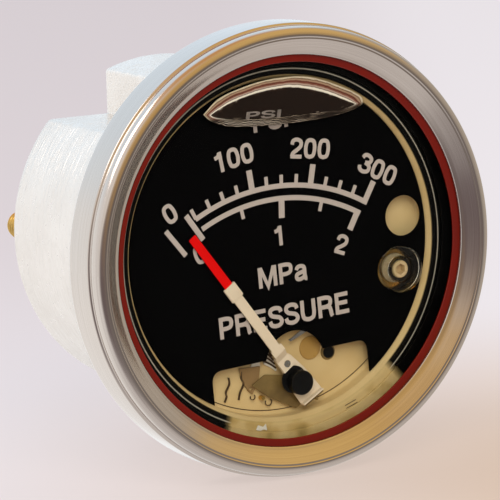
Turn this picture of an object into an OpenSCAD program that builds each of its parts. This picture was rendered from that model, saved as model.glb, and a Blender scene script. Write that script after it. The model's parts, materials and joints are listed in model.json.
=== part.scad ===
// Pressure switch gauge: a round panel gauge with an adjustable electrical limit contact.
// Frame: the origin is the centre of the panel seat. The dial faces -Y, the barrel runs to +Y, +Z is up.

/* [Bezel] */
// Outer radius of the polished bezel
bezel_r = 38; // [36:0.5:44]
// Depth of the bezel, from its front face back to the panel seat
bezel_h = 9.5; // [8.5:0.25:11.5]
// Radius of the viewing opening
opening_r = 32.7; // [31:0.1:34]
// How far the inner lip lies behind the front face
lip_drop = 1.8; // [1.2:0.1:2.2]
// Thickness of the bezel sheet
bezel_t = 0.8; // [0.5:0.1:1]
// Radius of the front roll
roll_r = 1.6; // [1.2:0.1:1.8]

/* [Case] */
// Radius of the case barrel
barrel_r = 28.9; // [28.5:0.1:31]
// Length of the barrel behind the panel seat
barrel_l = 38.2; // [32:0.2:46]
// Radius of the collar where the barrel meets the seat
collar_r = 30.6; // [30.2:0.1:32.5]
// Length of that collar
collar_l = 3.5; // [3:0.25:6]
// Thickness of the barrel wall
wall = 2.3; // [1.6:0.1:2.4]
// Thickness of the back wall
back_t = 3.5; // [3:0.25:5]
// Half width of the rib left between the two notches in the barrel
rib_half_w = 10.1; // [8:0.1:12]
// Height of the floor of those notches above the axis
notch_floor = 19.5; // [18.5:0.1:21]

/* [Lens] */
// Thickness of the lens
lens_t = 1.8; // [1.2:0.1:2]
// Outer radius of the adjuster's boss on the lens
boss_r = 3.9; // [3.6:0.1:4.4]
// Radius of the access hole through that boss
access_r = 2.2; // [2:0.05:2.5]

/* [Dial] */
// Radius of the dial plate
dial_r = 28.4; // [28:0.1:28.45]
// Thickness of the dial plate
dial_t = 0.5; // [0.3:0.05:0.6]
// Turn of the dial plate in its pan, degrees
dial_turn = 4.2; // [0:0.2:6]
// Radius of the two round holes in the dial
dial_hole_r = 3.45; // [3:0.05:3.8]
// Half width of the dial's lower cut-out
cutout_half_w = 15.1; // [12:0.1:17]
// Radius of the round rise at the top of that cut-out
rise_r = 5.8; // [5.4:0.1:6.4]

/* [Pointer] */
// Sideways place of the pointer's axis
pivot_x = 2.9; // [2:0.1:3.5]
// Drop of the pointer's axis below the case axis
pivot_drop = 23; // [22:0.1:23.2]
// Length of the pointer from its axis to the tip
pointer_l = 33.2; // [30:0.1:34]
// Turn of the pointer at rest, degrees
pointer_rest = -36.7; // [-38:0.1:-34]
// Width of the pointer blade
blade_w = 1.5; // [1.2:0.05:1.8]
// Thickness of the pointer's sheet
blade_t = 0.3; // [0.2:0.05:0.35]
// Radius of the arbor that carries the pointer
arbor_r = 0.8; // [0.6:0.05:0.9]
// Radius of the hub cap
hub_cap_r = 2.1; // [1.6:0.1:2.3]

/* [Limit adjuster] */
// Sideways place of the adjuster's axis
adjuster_x = 22.7; // [22:0.1:23]
// Drop of the adjuster's axis below the case axis
adjuster_drop = 5.9; // [5:0.1:7]
// Radius of the adjuster shaft
adjuster_r = 1.5; // [1.2:0.05:1.7]
// Width across the flats of the hex socket in the shaft
socket_af = 1.6; // [1.3:0.1:2]

/* [Pressure element] */
// Outer radius of the pressure housing
housing_r = 15; // [14:0.25:17]
// Travel of the diaphragm plate at full pressure
travel = 2.06; // [1.8:0.02:2.2]
// Radius of the plunger rod
plunger_r = 1.2; // [1:0.05:1.5]
// Mean radius of the range spring
spring_r = 5.5; // [5:0.1:7]
// Radius of the spring's wire
wire_r = 0.5; // [0.4:0.05:0.6]
// Number of turns of the range spring
spring_turns = 4; // [3:1:4]

/* [Pressure connection] */
// Outer radius of the connection's thread at its root end
thread_r = 6.85; // [6:0.05:7.5]
// Length of the threaded end
thread_l = 13; // [11:0.5:16]
// Radius of the pressure passage
port_r = 2.5; // [2:0.1:3]
// Width across the flats of the connection's hexagon
hex_af = 17.5; // [16:0.5:20]

/* [Terminals] */
// Distance of each terminal stud from the case axis
stud_x = 22.6; // [22:0.1:22.6]
// Radius of a terminal stud
stud_r = 2.4; // [2:0.05:2.6]
// How far a stud stands out of the back wall
stud_out = 11; // [8:0.5:14]

/* [Hidden] */
$fn = 96;
running = 0.05;      // radial clearance of a shaft that turns or slides in its bore
seat = 0.02;         // radial clearance of a pin that is fixed in its hole
clear = 0.35;        // gap between pieces that pass each other

front = -bezel_h;
lip_y = front + lip_drop;             // front edge of the inner lip
flange_r = bezel_r - bezel_t - 0.3;   // case flange inside the bezel skirt
seal_r = flange_r - 0.5;              // lens and gaskets
rear_lip_r = bezel_r - 4.8;           // inner edge of the turned rear lip

// Stack from the bezel lip backwards
gasket_y0 = lip_y + 0.6;              // lens gasket, front face
lens_y0 = gasket_y0 + 0.45;
lens_y1 = lens_y0 + lens_t;
pan_y0 = lens_y1 + 0.45;              // front face of the pan's lip
pan_t = 0.6;
dial_y0 = lens_y1 + 1.65;
dial_y1 = dial_y0 + dial_t;
floor_y0 = dial_y1 + 2.1;             // front face of the pan's floor
floor_y1 = floor_y0 + 0.8;
pan_in_r = dial_r + 0.1;              // inside of the pan's wall behind the dial
pan_out_r = pan_in_r + pan_t;
pan_rim_r = pan_in_r + 0.9;           // inside of the flared rim in front of the dial

// Case
short = max(0, 38.2 - barrel_l);      // a shorter barrel squeezes the movement and the pressure housing
bore_r = barrel_r - wall;
back_y0 = barrel_l - back_t;

// Levels of the pieces between the pan floor and the lens
lever_y0 = floor_y0 - 0.9;            // contact lever on the arbor
lever_t = 0.3;
arm_y0 = lever_y0 - clear - 0.25;     // limit arm
arm_t = 0.25;
plate_y1 = arm_y0 - clear;            // pointer's hub plate, rear face
plate_y0 = plate_y1 - blade_t;
blade_low_y0 = plate_y0 - blade_t;    // low end of the blade on the hub plate
blade_y0 = dial_y0 - 0.45 - blade_t;  // blade over the dial
cap_y0 = lens_y1 + clear;             // front of the hub cap

// Pointer
pivot = [pivot_x, -pivot_drop];
adjuster = [adjuster_x, -adjuster_drop];
red_end = pointer_l - 11;             // where the red tip ends in the collar
sleeve_l = 2.8;                       // length of the collar that holds the red tip

// Drive behind the pan
crank_c = 1.6;                        // throw of the arbor's crank pin
crank_turn = 32.5;                    // crank pin's angle above the horizontal at rest
crank_y0 = floor_y1 + 0.8;
crank_pin_r = 0.4;
bracket_y0 = floor_y1 + 8.4 - 0.35 * short;
bracket_t = 1.0;
hinge_y = bracket_y0 + bracket_t + 4.4 - 0.2 * short;
hinge_z = -12;
hinge_r = 0.75;
ear_x = 6;                            // inside face of each ear
crank_x = pivot_x + crank_c * cos(crank_turn);
crank_z = -pivot_drop + crank_c * sin(crank_turn);
pad_z = crank_z + crank_pin_r + clear; // underside of the rocker's pad
pad_y0 = crank_y0 + 2.3;
pad_x0 = pivot_x + arbor_r + 0.35;

// Pressure element, from the back wall forwards
housing_y0 = back_y0 - 8 + 0.45 * short;
diaphragm_t = 0.6;
cover_y1 = housing_y0 - diaphragm_t;
cover_l = 9;
cover_y0 = cover_y1 - cover_l;
cover_t = 1.2;
cavity_r = housing_r - 3;
piston_r = cavity_r - 2.5;
piston_t = 1.4;
piston_y1 = cover_y1 - running;
piston_y0 = piston_y1 - piston_t;
tip_y = cover_y0 - 0.3;               // front tip of the plunger at rest
rocker_back_y = tip_y - clear;        // rear face of the rocker's input pad
screw_pcr = housing_r - 1.6;
screw_r = 0.8;

// Connection and terminals
hex_l = 4.5;
seal_t = 0.7;
hex_y0 = barrel_l + seal_t;
shank_r = 6;
ins_flange_r = 3.95;
ins_shank_r = 3.2;
ins_flange_t = 1;
washer_t = 0.6;
nut_t = 2.6;
nut_af = 7;

// ---- helpers -------------------------------------------------------------
// Round bar along +Y from y0 to y1, centred on p = [x, z]
module bar(r, y0, y1, p = [0, 0]) translate([p[0], y0, p[1]]) rotate([-90, 0, 0]) cylinder(r = r, h = y1 - y0);
// Flat outline drawn in front view (x right, z up), standing from y0 back to y1
module slab(y0, y1) translate([0, y1, 0]) rotate([90, 0, 0]) linear_extrude(y1 - y0) children();
// Turned ring about the case axis from [radius, y] points
module turned(pts) rotate([90, 0, 0]) rotate_extrude() polygon([for (p = pts) [p[0], -p[1]]]);
// Flat ring along Y
module ring(r_in, r_out, y0, y1, p = [0, 0]) difference() {
    bar(r_out, y0, y1, p);
    bar(r_in, y0 - 1, y1 + 1, p);
}
// Hexagonal bar along +Y
module hex_bar(af, y0, y1, p = [0, 0]) translate([p[0], y0, p[1]]) rotate([-90, 0, 0]) cylinder(r = af / sqrt(3), h = y1 - y0, $fn = 6);
// Box between two corners
module box(a, b) translate(a) cube(b - a);
// Turned about the pointer's axis, clockwise from straight up
module on_pointer() translate([pivot[0], 0, pivot[1]]) rotate([0, pointer_rest, 0]) children();
function arc(c, r, a0, a1, n) = [for (i = [0:n]) let (a = a0 + (a1 - a0) * i / n) [c[0] + r * cos(a), c[1] + r * sin(a)]];

// ---- case and bezel --------------------------------------------------------
module barrel_outline(r) difference() {
    circle(r);
    for (s = [-1, 1]) translate([s > 0 ? rib_half_w : -rib_half_w - 40, notch_floor]) square([40, 40]);
}
// Hollow of the barrel, kept a wall's thickness inside the notches
module hollow_outline() difference() {
    circle(bore_r);
    for (s = [-1, 1]) translate([s > 0 ? rib_half_w - wall : -rib_half_w + wall - 40, notch_floor - wall]) square([40, 40]);
}
module case() color("gainsboro") difference() {
    union() {
        // flange, seat ring and collar, closed across the front ends of the notches
        turned([[0, pan_y0 + pan_t], [flange_r, pan_y0 + pan_t], [flange_r, -bezel_t], [rear_lip_r - 0.05, -bezel_t],
                [rear_lip_r - 0.05, 0], [collar_r, 0], [barrel_r, collar_l], [0, collar_l]]);
        slab(collar_l - 1, barrel_l) barrel_outline(barrel_r);
    }
    bar(pan_out_r + 0.05, pan_y0 - 1, floor_y1);
    turned([[0, pan_y0 - 1], [pan_rim_r + pan_t + 0.15, pan_y0 - 1], [pan_rim_r + pan_t + 0.15, pan_y0 + pan_t],
            [pan_out_r + 0.05, dial_y0 + 0.7], [0, dial_y0 + 0.7]]);
    slab(floor_y1 - 0.5, back_y0) hollow_outline();
    bar(shank_r + seat, back_y0 - 1, barrel_l + 1);
    for (s = [-1, 1]) bar(ins_shank_r + seat, back_y0 - 1, barrel_l + 1, [s * stud_x, 0]);
}
module bezel() color("silver") turned(concat(
    [[rear_lip_r, 0], [bezel_r - 0.4, 0], [bezel_r, -0.4], [bezel_r, front + roll_r + 1.1],
     [bezel_r - 0.45, front + roll_r + 0.8]],
    arc([bezel_r - 0.45 - roll_r, front + roll_r], roll_r, 0, -90, 6),
    [[opening_r + 0.7, lip_y - 0.25], [opening_r, lip_y], [opening_r, lip_y + 0.6], [opening_r + 0.9, lip_y + 0.6],
     [bezel_r - 0.45 - roll_r, front + bezel_t + 0.1], [bezel_r - 0.45 - bezel_t, front + roll_r],
     [bezel_r - 0.45 - bezel_t, front + roll_r + 1], [bezel_r - bezel_t, front + roll_r + 1.5],
     [bezel_r - bezel_t, -bezel_t], [rear_lip_r, -bezel_t]]));

// ---- lens, gaskets, pan and dial --------------------------------------------
module lens_gasket() color("darkred") ring(opening_r - 1.2, seal_r, gasket_y0, lens_y0);
module lens() color("lightcyan") difference() {
    union() {
        bar(seal_r, lens_y0, lens_y1);
        bar(boss_r, lens_y1 - 0.1, dial_y0 - 0.3, adjuster);
    }
    bar(access_r, lens_y0 - 1, dial_y0 + 1, adjuster);
}
module rear_gasket() color("black") ring(pan_rim_r + 1.3, seal_r, lens_y1, pan_y0);
module pan() color("wheat") difference() {
    turned([[0, floor_y0], [pan_in_r, floor_y0], [pan_in_r, dial_y0 + 0.1], [pan_rim_r, pan_y0], [seal_r, pan_y0],
            [seal_r, pan_y0 + pan_t], [pan_rim_r + pan_t, pan_y0 + pan_t], [pan_out_r, dial_y0 + 0.5], [pan_out_r, floor_y1], [0, floor_y1]]);
    bar(arbor_r + running, floor_y0 - 1, floor_y1 + 1, pivot);
    bar(adjuster_r + running, floor_y0 - 1, floor_y1 + 1, adjuster);
    for (p = rivets) bar(rivet_r + seat, floor_y0 - 1, floor_y1 + 1, p);
    // vent notches in the rim beside and below the adjuster
    for (a = [-18, -31, -38]) rotate([0, -a, 0]) box([pan_in_r - 0.2, pan_y0 - 1, -0.6], [pan_rim_r + 0.9, pan_y0 + 0.9, 0.6]);
}
// Cut-out at the foot of the dial: round-cornered, with a round rise over the pointer's axis
module cutout_outline() {
    c = 1.6;
    translate([-cutout_half_w, -40]) square([2 * cutout_half_w, 40 - 18.4 - c]);
    translate([-cutout_half_w + c, -40]) square([2 * cutout_half_w - 2 * c, 40 - 18.4]);
    for (s = [-1, 1]) translate([s * (cutout_half_w - c), -18.4 - c]) circle(c);
}
module dial() color([0.04, 0.04, 0.05]) difference() {
    bar(dial_r, dial_y0, dial_y1);
    rotate([0, -dial_turn, 0]) slab(dial_y0 - 1, dial_y1 + 1) cutout_outline();
    bar(rise_r, dial_y0 - 1, dial_y1 + 1, rise);
    bar(dial_hole_r, dial_y0 - 1, dial_y1 + 1, [adjuster_x - 0.4, -adjuster_drop - 0.1]);
    bar(dial_hole_r, dial_y0 - 1, dial_y1 + 1, [24.1, 3]);
}
rise = [pivot_x - 0.5, -pivot_drop + 3];
standoffs = [[-18, 12], [18, 14], [-20, -11]];
module dial_standoffs() color("gold") for (p = standoffs) bar(1.6, dial_y1, floor_y0, p);

// ---- pointer body ------------------------------------------------------------
plate_outline = [[-0.85, 6], [-1.05, 3], [-1.75, 1.2], [-1.9, -3.7], [2.6, -4.1], [2.2, 0.6], [1.65, 4.7], [0.85, 6]];
rivet_at = [0.3, 3.9];
jog_z0 = 5;           // where the blade starts to rise
jog_z1 = 6.8;
module pointer_plate() color("tan") on_pointer() {
    difference() {
        slab(plate_y0, plate_y1) polygon(plate_outline);
        bar(arbor_r + seat, plate_y0 - 1, plate_y1 + 1);
        bar(0.35 + seat, plate_y0 - 1, plate_y1 + 1, rivet_at);
    }
    // tail tab, folded towards the front
    slab(plate_y0 - 0.9, plate_y0) polygon([[-1.89, -3.4], [-1.9, -3.7], [2.6, -4.1], [2.56, -3.8]]);
}
module pointer_blade() color("tan") on_pointer() {
    difference() {
        slab(blade_low_y0, plate_y0) polygon([[-0.95, 2.9], [1.35, 2.9], [1.35, jog_z0], [-0.95, jog_z0]]);
        bar(0.35 + seat, blade_low_y0 - 1, plate_y0 + 1, rivet_at);
    }
    // rise from the hub up over the dial
    translate([-0.95, 0, 0]) rotate([90, 0, 90]) linear_extrude(2.1)
        polygon([[blade_low_y0, jog_z0], [plate_y0, jog_z0], [blade_y0 + blade_t, jog_z1], [blade_y0, jog_z1]]);
    slab(blade_y0, blade_y0 + blade_t) {
        translate([-0.95, jog_z1]) square([2.1, 1]);
        translate([-blade_w / 2, jog_z1 + 1]) square([blade_w, red_end - sleeve_l - jog_z1 - 1]);
    }
    // collar folded round the end of the red tip
    difference() {
        slab(blade_y0 - 0.15, blade_y0 + blade_t) translate([-1.15, red_end - sleeve_l]) square([2.3, sleeve_l]);
        slab(blade_y0 + 0.05, blade_y0 + 0.25) translate([-blade_w / 2, red_end - sleeve_l + 0.5]) square([blade_w, sleeve_l]);
    }
}
module pointer_tip() color("red") on_pointer() slab(blade_y0 + 0.05, blade_y0 + 0.25)
    translate([-blade_w / 2, red_end - sleeve_l + 0.5]) square([blade_w, pointer_l - red_end + sleeve_l - 0.5]);
module pointer_rivet() color("tan") on_pointer() {
    bar(0.35, blade_low_y0, plate_y1, rivet_at);
    difference() {
        bar(0.62, blade_low_y0 - 0.12, blade_low_y0, rivet_at);
        bar(0.3, blade_low_y0 - 1, blade_low_y0 - 0.05, rivet_at);
    }
}
module hub_cap() color([0.05, 0.05, 0.06]) difference() {
    bar(hub_cap_r, cap_y0, plate_y0, pivot);
    bar(arbor_r + seat, cap_y0 + 0.5, plate_y0 + 1, pivot);
}
module arbor() color("silver") bar(arbor_r, cap_y0 + 0.6, bracket_y0 + bracket_t + 0.4, pivot);
module arbor_crank() color("goldenrod") {
    difference() {
        bar(crank_c + 0.7, crank_y0, crank_y0 + 0.8, pivot);
        bar(arbor_r + seat, crank_y0 - 1, crank_y0 + 2, pivot);
    }
    bar(crank_pin_r, crank_y0 + 0.8, crank_y0 + 6.2 - 0.35 * short, [crank_x, crank_z]);
}
lever_outline = [[-5.4, -22.8], [-3, -21.2], [0.6, -21.6], [4.6, -22.2], [4.4, -26], [3.4, -27.4], [2.6, -27.7]];
module contact_lever() color("darkolivegreen") difference() {
    slab(lever_y0, lever_y0 + lever_t) polygon(lever_outline);
    bar(arbor_r + seat, lever_y0 - 1, lever_y0 + 1, pivot);
}
// Flat spiral between the lever and the hub plate
function spiral(r0, r1, turns, n) = [for (i = [0:n]) let (a = 360 * turns * i / n, r = r0 + (r1 - r0) * i / n) [pivot[0] + r * cos(a), pivot[1] + r * sin(a)]];
module hairspring() color("goldenrod") slab(plate_y1, plate_y1 + 0.3)
    polygon(concat(spiral(arbor_r + seat, 2.1, 2.5, 60), [for (i = [60:-1:0]) spiral(arbor_r + seat + 0.16, 2.26, 2.5, 60)[i]]));

// ---- small pieces on the pan ---------------------------------------------------
rivets = [[8.3, -18.6], [-8.4, -13.6]];
rivet_r = 0.9;
module stop_pin() color("goldenrod") bar(0.4, lever_y0 - 0.2, floor_y0, [-3.2, -25.3]);
module anchor_block() color("white") slab(lever_y0 + lever_t + clear, floor_y0) polygon([[-5.6, -20.4], [-3.9, -17.6], [-3.7, -20.2]]);
module leaf_springs() color("tan") for (k = [0, 1])
    translate([-11.6 + 3.1 * k, 0, -20.2]) rotate([0, 14, 0]) box([-0.15, floor_y0 - 1.2, -4.6], [0.15, floor_y0, 0]);
module bracket_rivets() color("goldenrod") for (p = rivets) difference() {
    union() {
        bar(1.4, floor_y0 - 0.3, floor_y0, p);
        bar(rivet_r, floor_y0 - 0.1, floor_y1 + foot_t + 0.1, p);
        bar(1.3, floor_y1 + foot_t, floor_y1 + foot_t + 0.3, p);
    }
    bar(0.65, floor_y0 - 1, floor_y1 + foot_t + 1, p);
}
module cover_plug() color("peru") bar(2, floor_y0 - 0.25, floor_y0, [4.6, -17.2]);

// ---- limit adjuster ---------------------------------------------------------------
bush_y0 = dial_y1 + clear;            // insulating bush between the shaft and the arm
module adjuster_shaft() color("silver") difference() {
    bar(adjuster_r, lens_y1 + 0.6, floor_y1 + 3, adjuster);
    hex_bar(socket_af, lens_y1 - 1, lens_y1 + 1.9, adjuster);
}
module adjuster_oring() color("black") ring(adjuster_r + running, access_r - seat, lens_y1 + 0.75, dial_y0 - 0.35, adjuster);
module adjuster_bush() color("ivory") ring(adjuster_r + seat, adjuster_r + 1, bush_y0, floor_y0 - clear, adjuster);
hook = [1.9, -15.9];                  // where the limit contact's wire ends
arm_end = [[7, -12.6], [6.4, -14.4]]; // the two corners of the arm's free end
module limit_arm() color("goldenrod") difference() {
    union() {
        bar(adjuster_r + 2.2, arm_y0, arm_y0 + arm_t, adjuster);
        slab(arm_y0, arm_y0 + arm_t) polygon([[adjuster_x - 1, -adjuster_drop + 2.4], arm_end[0], arm_end[1], [adjuster_x + 0.6, -adjuster_drop - 2.8]]);
    }
    bar(adjuster_r + 1 + seat, arm_y0 - 1, arm_y0 + 1, adjuster);
}
// Bent contact wire, carried on the end of the arm
module limit_contact() color("silver") slab(arm_y0, arm_y0 + arm_t) {
    polygon([arm_end[0], arm_end[1], hook + [0.25, -0.35], hook + [-0.2, 0], hook + [0.2, 0.15], arm_end[0] - [0.5, 0.55]]);
    polygon([arm_end[0] - [0.5, 0.55], hook + [2.5, 1.1], hook + [2.3, 1.35], arm_end[0] - [0.2, 0.2]]);
}

// ---- movement behind the pan --------------------------------------------------------
foot_t = 1.0;
foot_w = 3;
module movement_bracket() color("goldenrod") difference() {
    union() {
        // rear plate that carries the back end of the arbor
        slab(bracket_y0, bracket_y0 + bracket_t) polygon([[-9.9, -7.5], [9.8, -7.5], [9.8, -20.5], [5.6, -24.9], [-2.5, -24.9], [-9.9, -20.5]]);
        // legs and feet
        box([rivets[0][0] + 0.5, floor_y1, rivets[0][1] - foot_w / 2 + 0.2], [rivets[0][0] + 1.5, bracket_y0 + bracket_t, rivets[0][1] + foot_w / 2 + 3]);
        box([rivets[0][0] - 1.6, floor_y1, rivets[0][1] - foot_w / 2 + 0.2], [rivets[0][0] + 1.5, floor_y1 + foot_t, rivets[0][1] + foot_w / 2 + 3]);
        box([rivets[1][0] - 1.5, floor_y1, rivets[1][1] - foot_w / 2], [rivets[1][0] - 0.5, bracket_y0 + bracket_t, rivets[1][1] + foot_w / 2]);
        box([rivets[1][0] - 1.5, floor_y1, rivets[1][1] - foot_w / 2], [rivets[1][0] + 1.6, floor_y1 + foot_t, rivets[1][1] + foot_w / 2]);
        // ears for the rocker's pin
        for (s = [-1, 1]) box([s > 0 ? ear_x : -ear_x - 1, bracket_y0, hinge_z - 2], [s > 0 ? ear_x + 1 : -ear_x, hinge_y + 2, hinge_z + 2]);
    }
    bar(arbor_r + running, bracket_y0 - 1, bracket_y0 + bracket_t + 1, pivot);
    for (p = rivets) {
        bar(rivet_r + seat, floor_y1 - 1, floor_y1 + foot_t + 1, p);
        bar(1.3 + seat, floor_y1 + foot_t, floor_y1 + foot_t + 1, p);
    }
    // window that the rocker's arm swings through
    box([pad_x0 - 0.5, bracket_y0 - 1, pad_z - 0.9], [pad_x0 + 2.6, bracket_y0 + bracket_t + 1, hinge_z + 2.6]);
    translate([0, hinge_y, hinge_z]) rotate([0, 90, 0]) cylinder(r = hinge_r + seat, h = 60, center = true);
}
module rocker_pin() color("silver") translate([-ear_x - 1.3, hinge_y, hinge_z]) rotate([0, 90, 0]) cylinder(r = hinge_r, h = 2 * ear_x + 2.6);
// Rocker: the plunger pushes its upper arm forward, and its lower pad pushes the crank pin down
module rocker() color("darkgoldenrod") difference() {
    union() {
        translate([-ear_x + clear, hinge_y, hinge_z]) rotate([0, 90, 0]) cylinder(r = hinge_r + 0.85, h = 2 * (ear_x - clear));
        // upper arm and its pad behind
        box([-1.2, hinge_y - 0.5, hinge_z], [1.2, hinge_y + 0.7, 1.8]);
        box([-1.2, hinge_y + 0.6, -1.8], [1.2, rocker_back_y, 1.8]);
        // lower arm, out to the pad over the crank pin
        slabx(pad_x0, pad_x0 + 1.5) polygon([[hinge_y, hinge_z + 0.8], [hinge_y + 0.6, hinge_z - 1], [pad_y0 + 1.4, pad_z],
                                             [pad_y0, pad_z], [pad_y0, pad_z + 1.3]]);
    }
    translate([0, hinge_y, hinge_z]) rotate([0, 90, 0]) cylinder(r = hinge_r + running, h = 60, center = true);
}
// Outline drawn in side view (y right, z up), standing from x0 to x1
module slabx(x0, x1) translate([x0, 0, 0]) rotate([90, 0, 90]) linear_extrude(x1 - x0) children();

// ---- pressure element ------------------------------------------------------------------
module plunger_rod() color("silver") bar(plunger_r, tip_y, piston_y0);
module piston_plate() color("silver") union() {
    bar(piston_r, piston_y0, piston_y1);
}
// Round wire coil: rings of points swept along a helix
function coil_ring(a, y, n) = [for (j = [0:n - 1]) let (b = 360 * j / n) [(spring_r + wire_r * cos(b)) * cos(a), y + wire_r * sin(b), (spring_r + wire_r * cos(b)) * sin(a)]];
module range_spring() color("silver") {
    n = 8;
    m = 22 * spring_turns;
    y0 = cover_y0 + cover_t + wire_r + 0.05;
    y1 = piston_y0 - wire_r - 0.05;
    pts = [for (i = [0:m]) each coil_ring(360 * spring_turns * i / m, y0 + (y1 - y0) * i / m, n)];
    polyhedron(points = pts, faces = concat(
        [[for (j = [0:n - 1]) j]],
        [for (i = [0:m - 1], j = [0:n - 1]) [i * n + j, (i + 1) * n + j, (i + 1) * n + (j + 1) % n]],
        [for (i = [0:m - 1], j = [0:n - 1]) [i * n + j, (i + 1) * n + (j + 1) % n, i * n + (j + 1) % n]],
        [[for (j = [n - 1:-1:0]) m * n + j]]), convexity = 6);
}
module screw_ring(r, y0, y1) for (i = [0:5]) bar(r, y0, y1, [screw_pcr * cos(60 * i + 30), screw_pcr * sin(60 * i + 30)]);
module diaphragm() color("orangered") difference() {
    bar(housing_r, cover_y1, housing_y0);
    screw_ring(screw_r + seat, cover_y1 - 1, housing_y0 + 1);
}
module housing_cover() color("silver") difference() {
    bar(housing_r, cover_y0, cover_y1);
    bar(cavity_r, cover_y0 + cover_t, cover_y1 + 1);
    bar(plunger_r + running, cover_y0 - 1, cover_y1 + 1);
    screw_ring(screw_r + seat, cover_y0 - 1, cover_y1 + 1);
}
module pressure_housing() color("goldenrod") difference() {
    bar(housing_r, housing_y0, back_y0);
    bar(cavity_r - 2, housing_y0 - 1, housing_y0 + 3);
    bar(shank_r + seat, housing_y0 + 4, back_y0 + 1);
    bar(port_r, housing_y0, back_y0 + 1);
    screw_ring(screw_r + seat, housing_y0 - 1, housing_y0 + 3.5);
}
module cover_screws() color("silver") {
    screw_ring(screw_r, cover_y0, housing_y0 + 3);
    screw_ring(1.5, cover_y0 - 1, cover_y0);
}

// ---- connection and terminals --------------------------------------------------------------
thread_pitch = 1.4;
module connection() color("goldenrod") difference() {
    union() {
        bar(shank_r, housing_y0 + 4, hex_y0);
        hex_bar(hex_af, hex_y0, hex_y0 + hex_l);
        turned(concat([[0, hex_y0 + hex_l - 0.1], [thread_r - 0.9, hex_y0 + hex_l - 0.1]],
            [for (i = [0:floor(thread_l / thread_pitch) - 1], k = [0, 1])
                let (y = hex_y0 + hex_l + 0.5 + (i + 0.5 * k) * thread_pitch)
                [thread_r - (k == 0 ? 0.8 : 0) - (y - hex_y0 - hex_l) / 32, y]],
            [[thread_r - 1.3, hex_y0 + hex_l + thread_l], [0, hex_y0 + hex_l + thread_l]]));
    }
    bar(port_r, housing_y0, hex_y0 + hex_l + thread_l + 1);
}
module connection_seal() color("black") ring(shank_r + seat, hex_af / 2 - 0.3, barrel_l, hex_y0);
module pair() for (s = [-1, 1]) translate([s * stud_x, 0, 0]) children();
module terminal_studs() color("goldenrod") pair() {
    bar(stud_r, back_y0 - 1.7, barrel_l + stud_out - 0.5);
    translate([0, barrel_l + stud_out - 0.5, 0]) rotate([-90, 0, 0]) cylinder(r1 = stud_r, r2 = stud_r - 0.5, h = 0.5);
    hex_bar(6.4, back_y0 - 3.7, back_y0 - 1.7);
}
module inner_insulators() color("ivory") pair() ring(stud_r + seat, ins_flange_r, back_y0 - 1.7, back_y0);
module outer_insulators() color("ivory") pair() difference() {
    union() {
        bar(ins_shank_r, back_y0, barrel_l);
        bar(ins_flange_r, barrel_l, barrel_l + ins_flange_t);
    }
    bar(stud_r + seat, back_y0 - 1, barrel_l + ins_flange_t + 1);
}
module terminal_washers() color("silver") pair() ring(stud_r + seat, ins_flange_r - 0.1, barrel_l + ins_flange_t, barrel_l + ins_flange_t + washer_t);
module terminal_nuts() color("goldenrod") pair() difference() {
    y = barrel_l + ins_flange_t + washer_t;
    hex_bar(nut_af, y, y + nut_t);
    bar(stud_r + seat, y - 1, y + nut_t + 1);
}
// Brass strip that carries the limit circuit from the right-hand stud to the adjuster shaft
module lead_strip() color("goldenrod") difference() {
    x1 = stud_x + 1.5;
    y_end = back_y0 - 3.7;
    union() {
        box([x1 - 3.2, y_end - 0.5, -2.6], [x1, y_end, 2.6]);
        box([x1 - 0.5, floor_y1 + 1.6, -2.6], [x1, y_end, 0]);
        box([x1 - 3.4, floor_y1 + 1.6, -adjuster_drop - 2.4], [x1, floor_y1 + 2.1, -1.5]);
    }
    bar(adjuster_r + running, floor_y1 - 1, floor_y1 + 4, adjuster);
}

case();
bezel();
lens_gasket();
lens();
rear_gasket();
pan();
dial();
dial_standoffs();
pointer_tip();
pointer_blade();
pointer_plate();
pointer_rivet();
hub_cap();
arbor();
arbor_crank();
contact_lever();
hairspring();
stop_pin();
anchor_block();
leaf_springs();
bracket_rivets();
cover_plug();
adjuster_shaft();
adjuster_oring();
adjuster_bush();
limit_arm();
limit_contact();
movement_bracket();
rocker();
rocker_pin();
plunger_rod();
piston_plate();
range_spring();
diaphragm();
pressure_housing();
housing_cover();
cover_screws();
connection();
connection_seal();
terminal_studs();
inner_insulators();
outer_insulators();
terminal_washers();
terminal_nuts();
lead_strip();
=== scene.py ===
"""Round panel pressure gauge with a built-in limit contact.

Each operator makes one piece, or one group of like pieces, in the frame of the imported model:
metres, the dial faces -Y, the barrel runs to +Y and +Z is up.
"""
import json
import math

import bmesh
import bpy
import numpy as np
from bpy.props import FloatProperty, FloatVectorProperty, IntProperty, PointerProperty
from mathutils import Matrix, Vector


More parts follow.
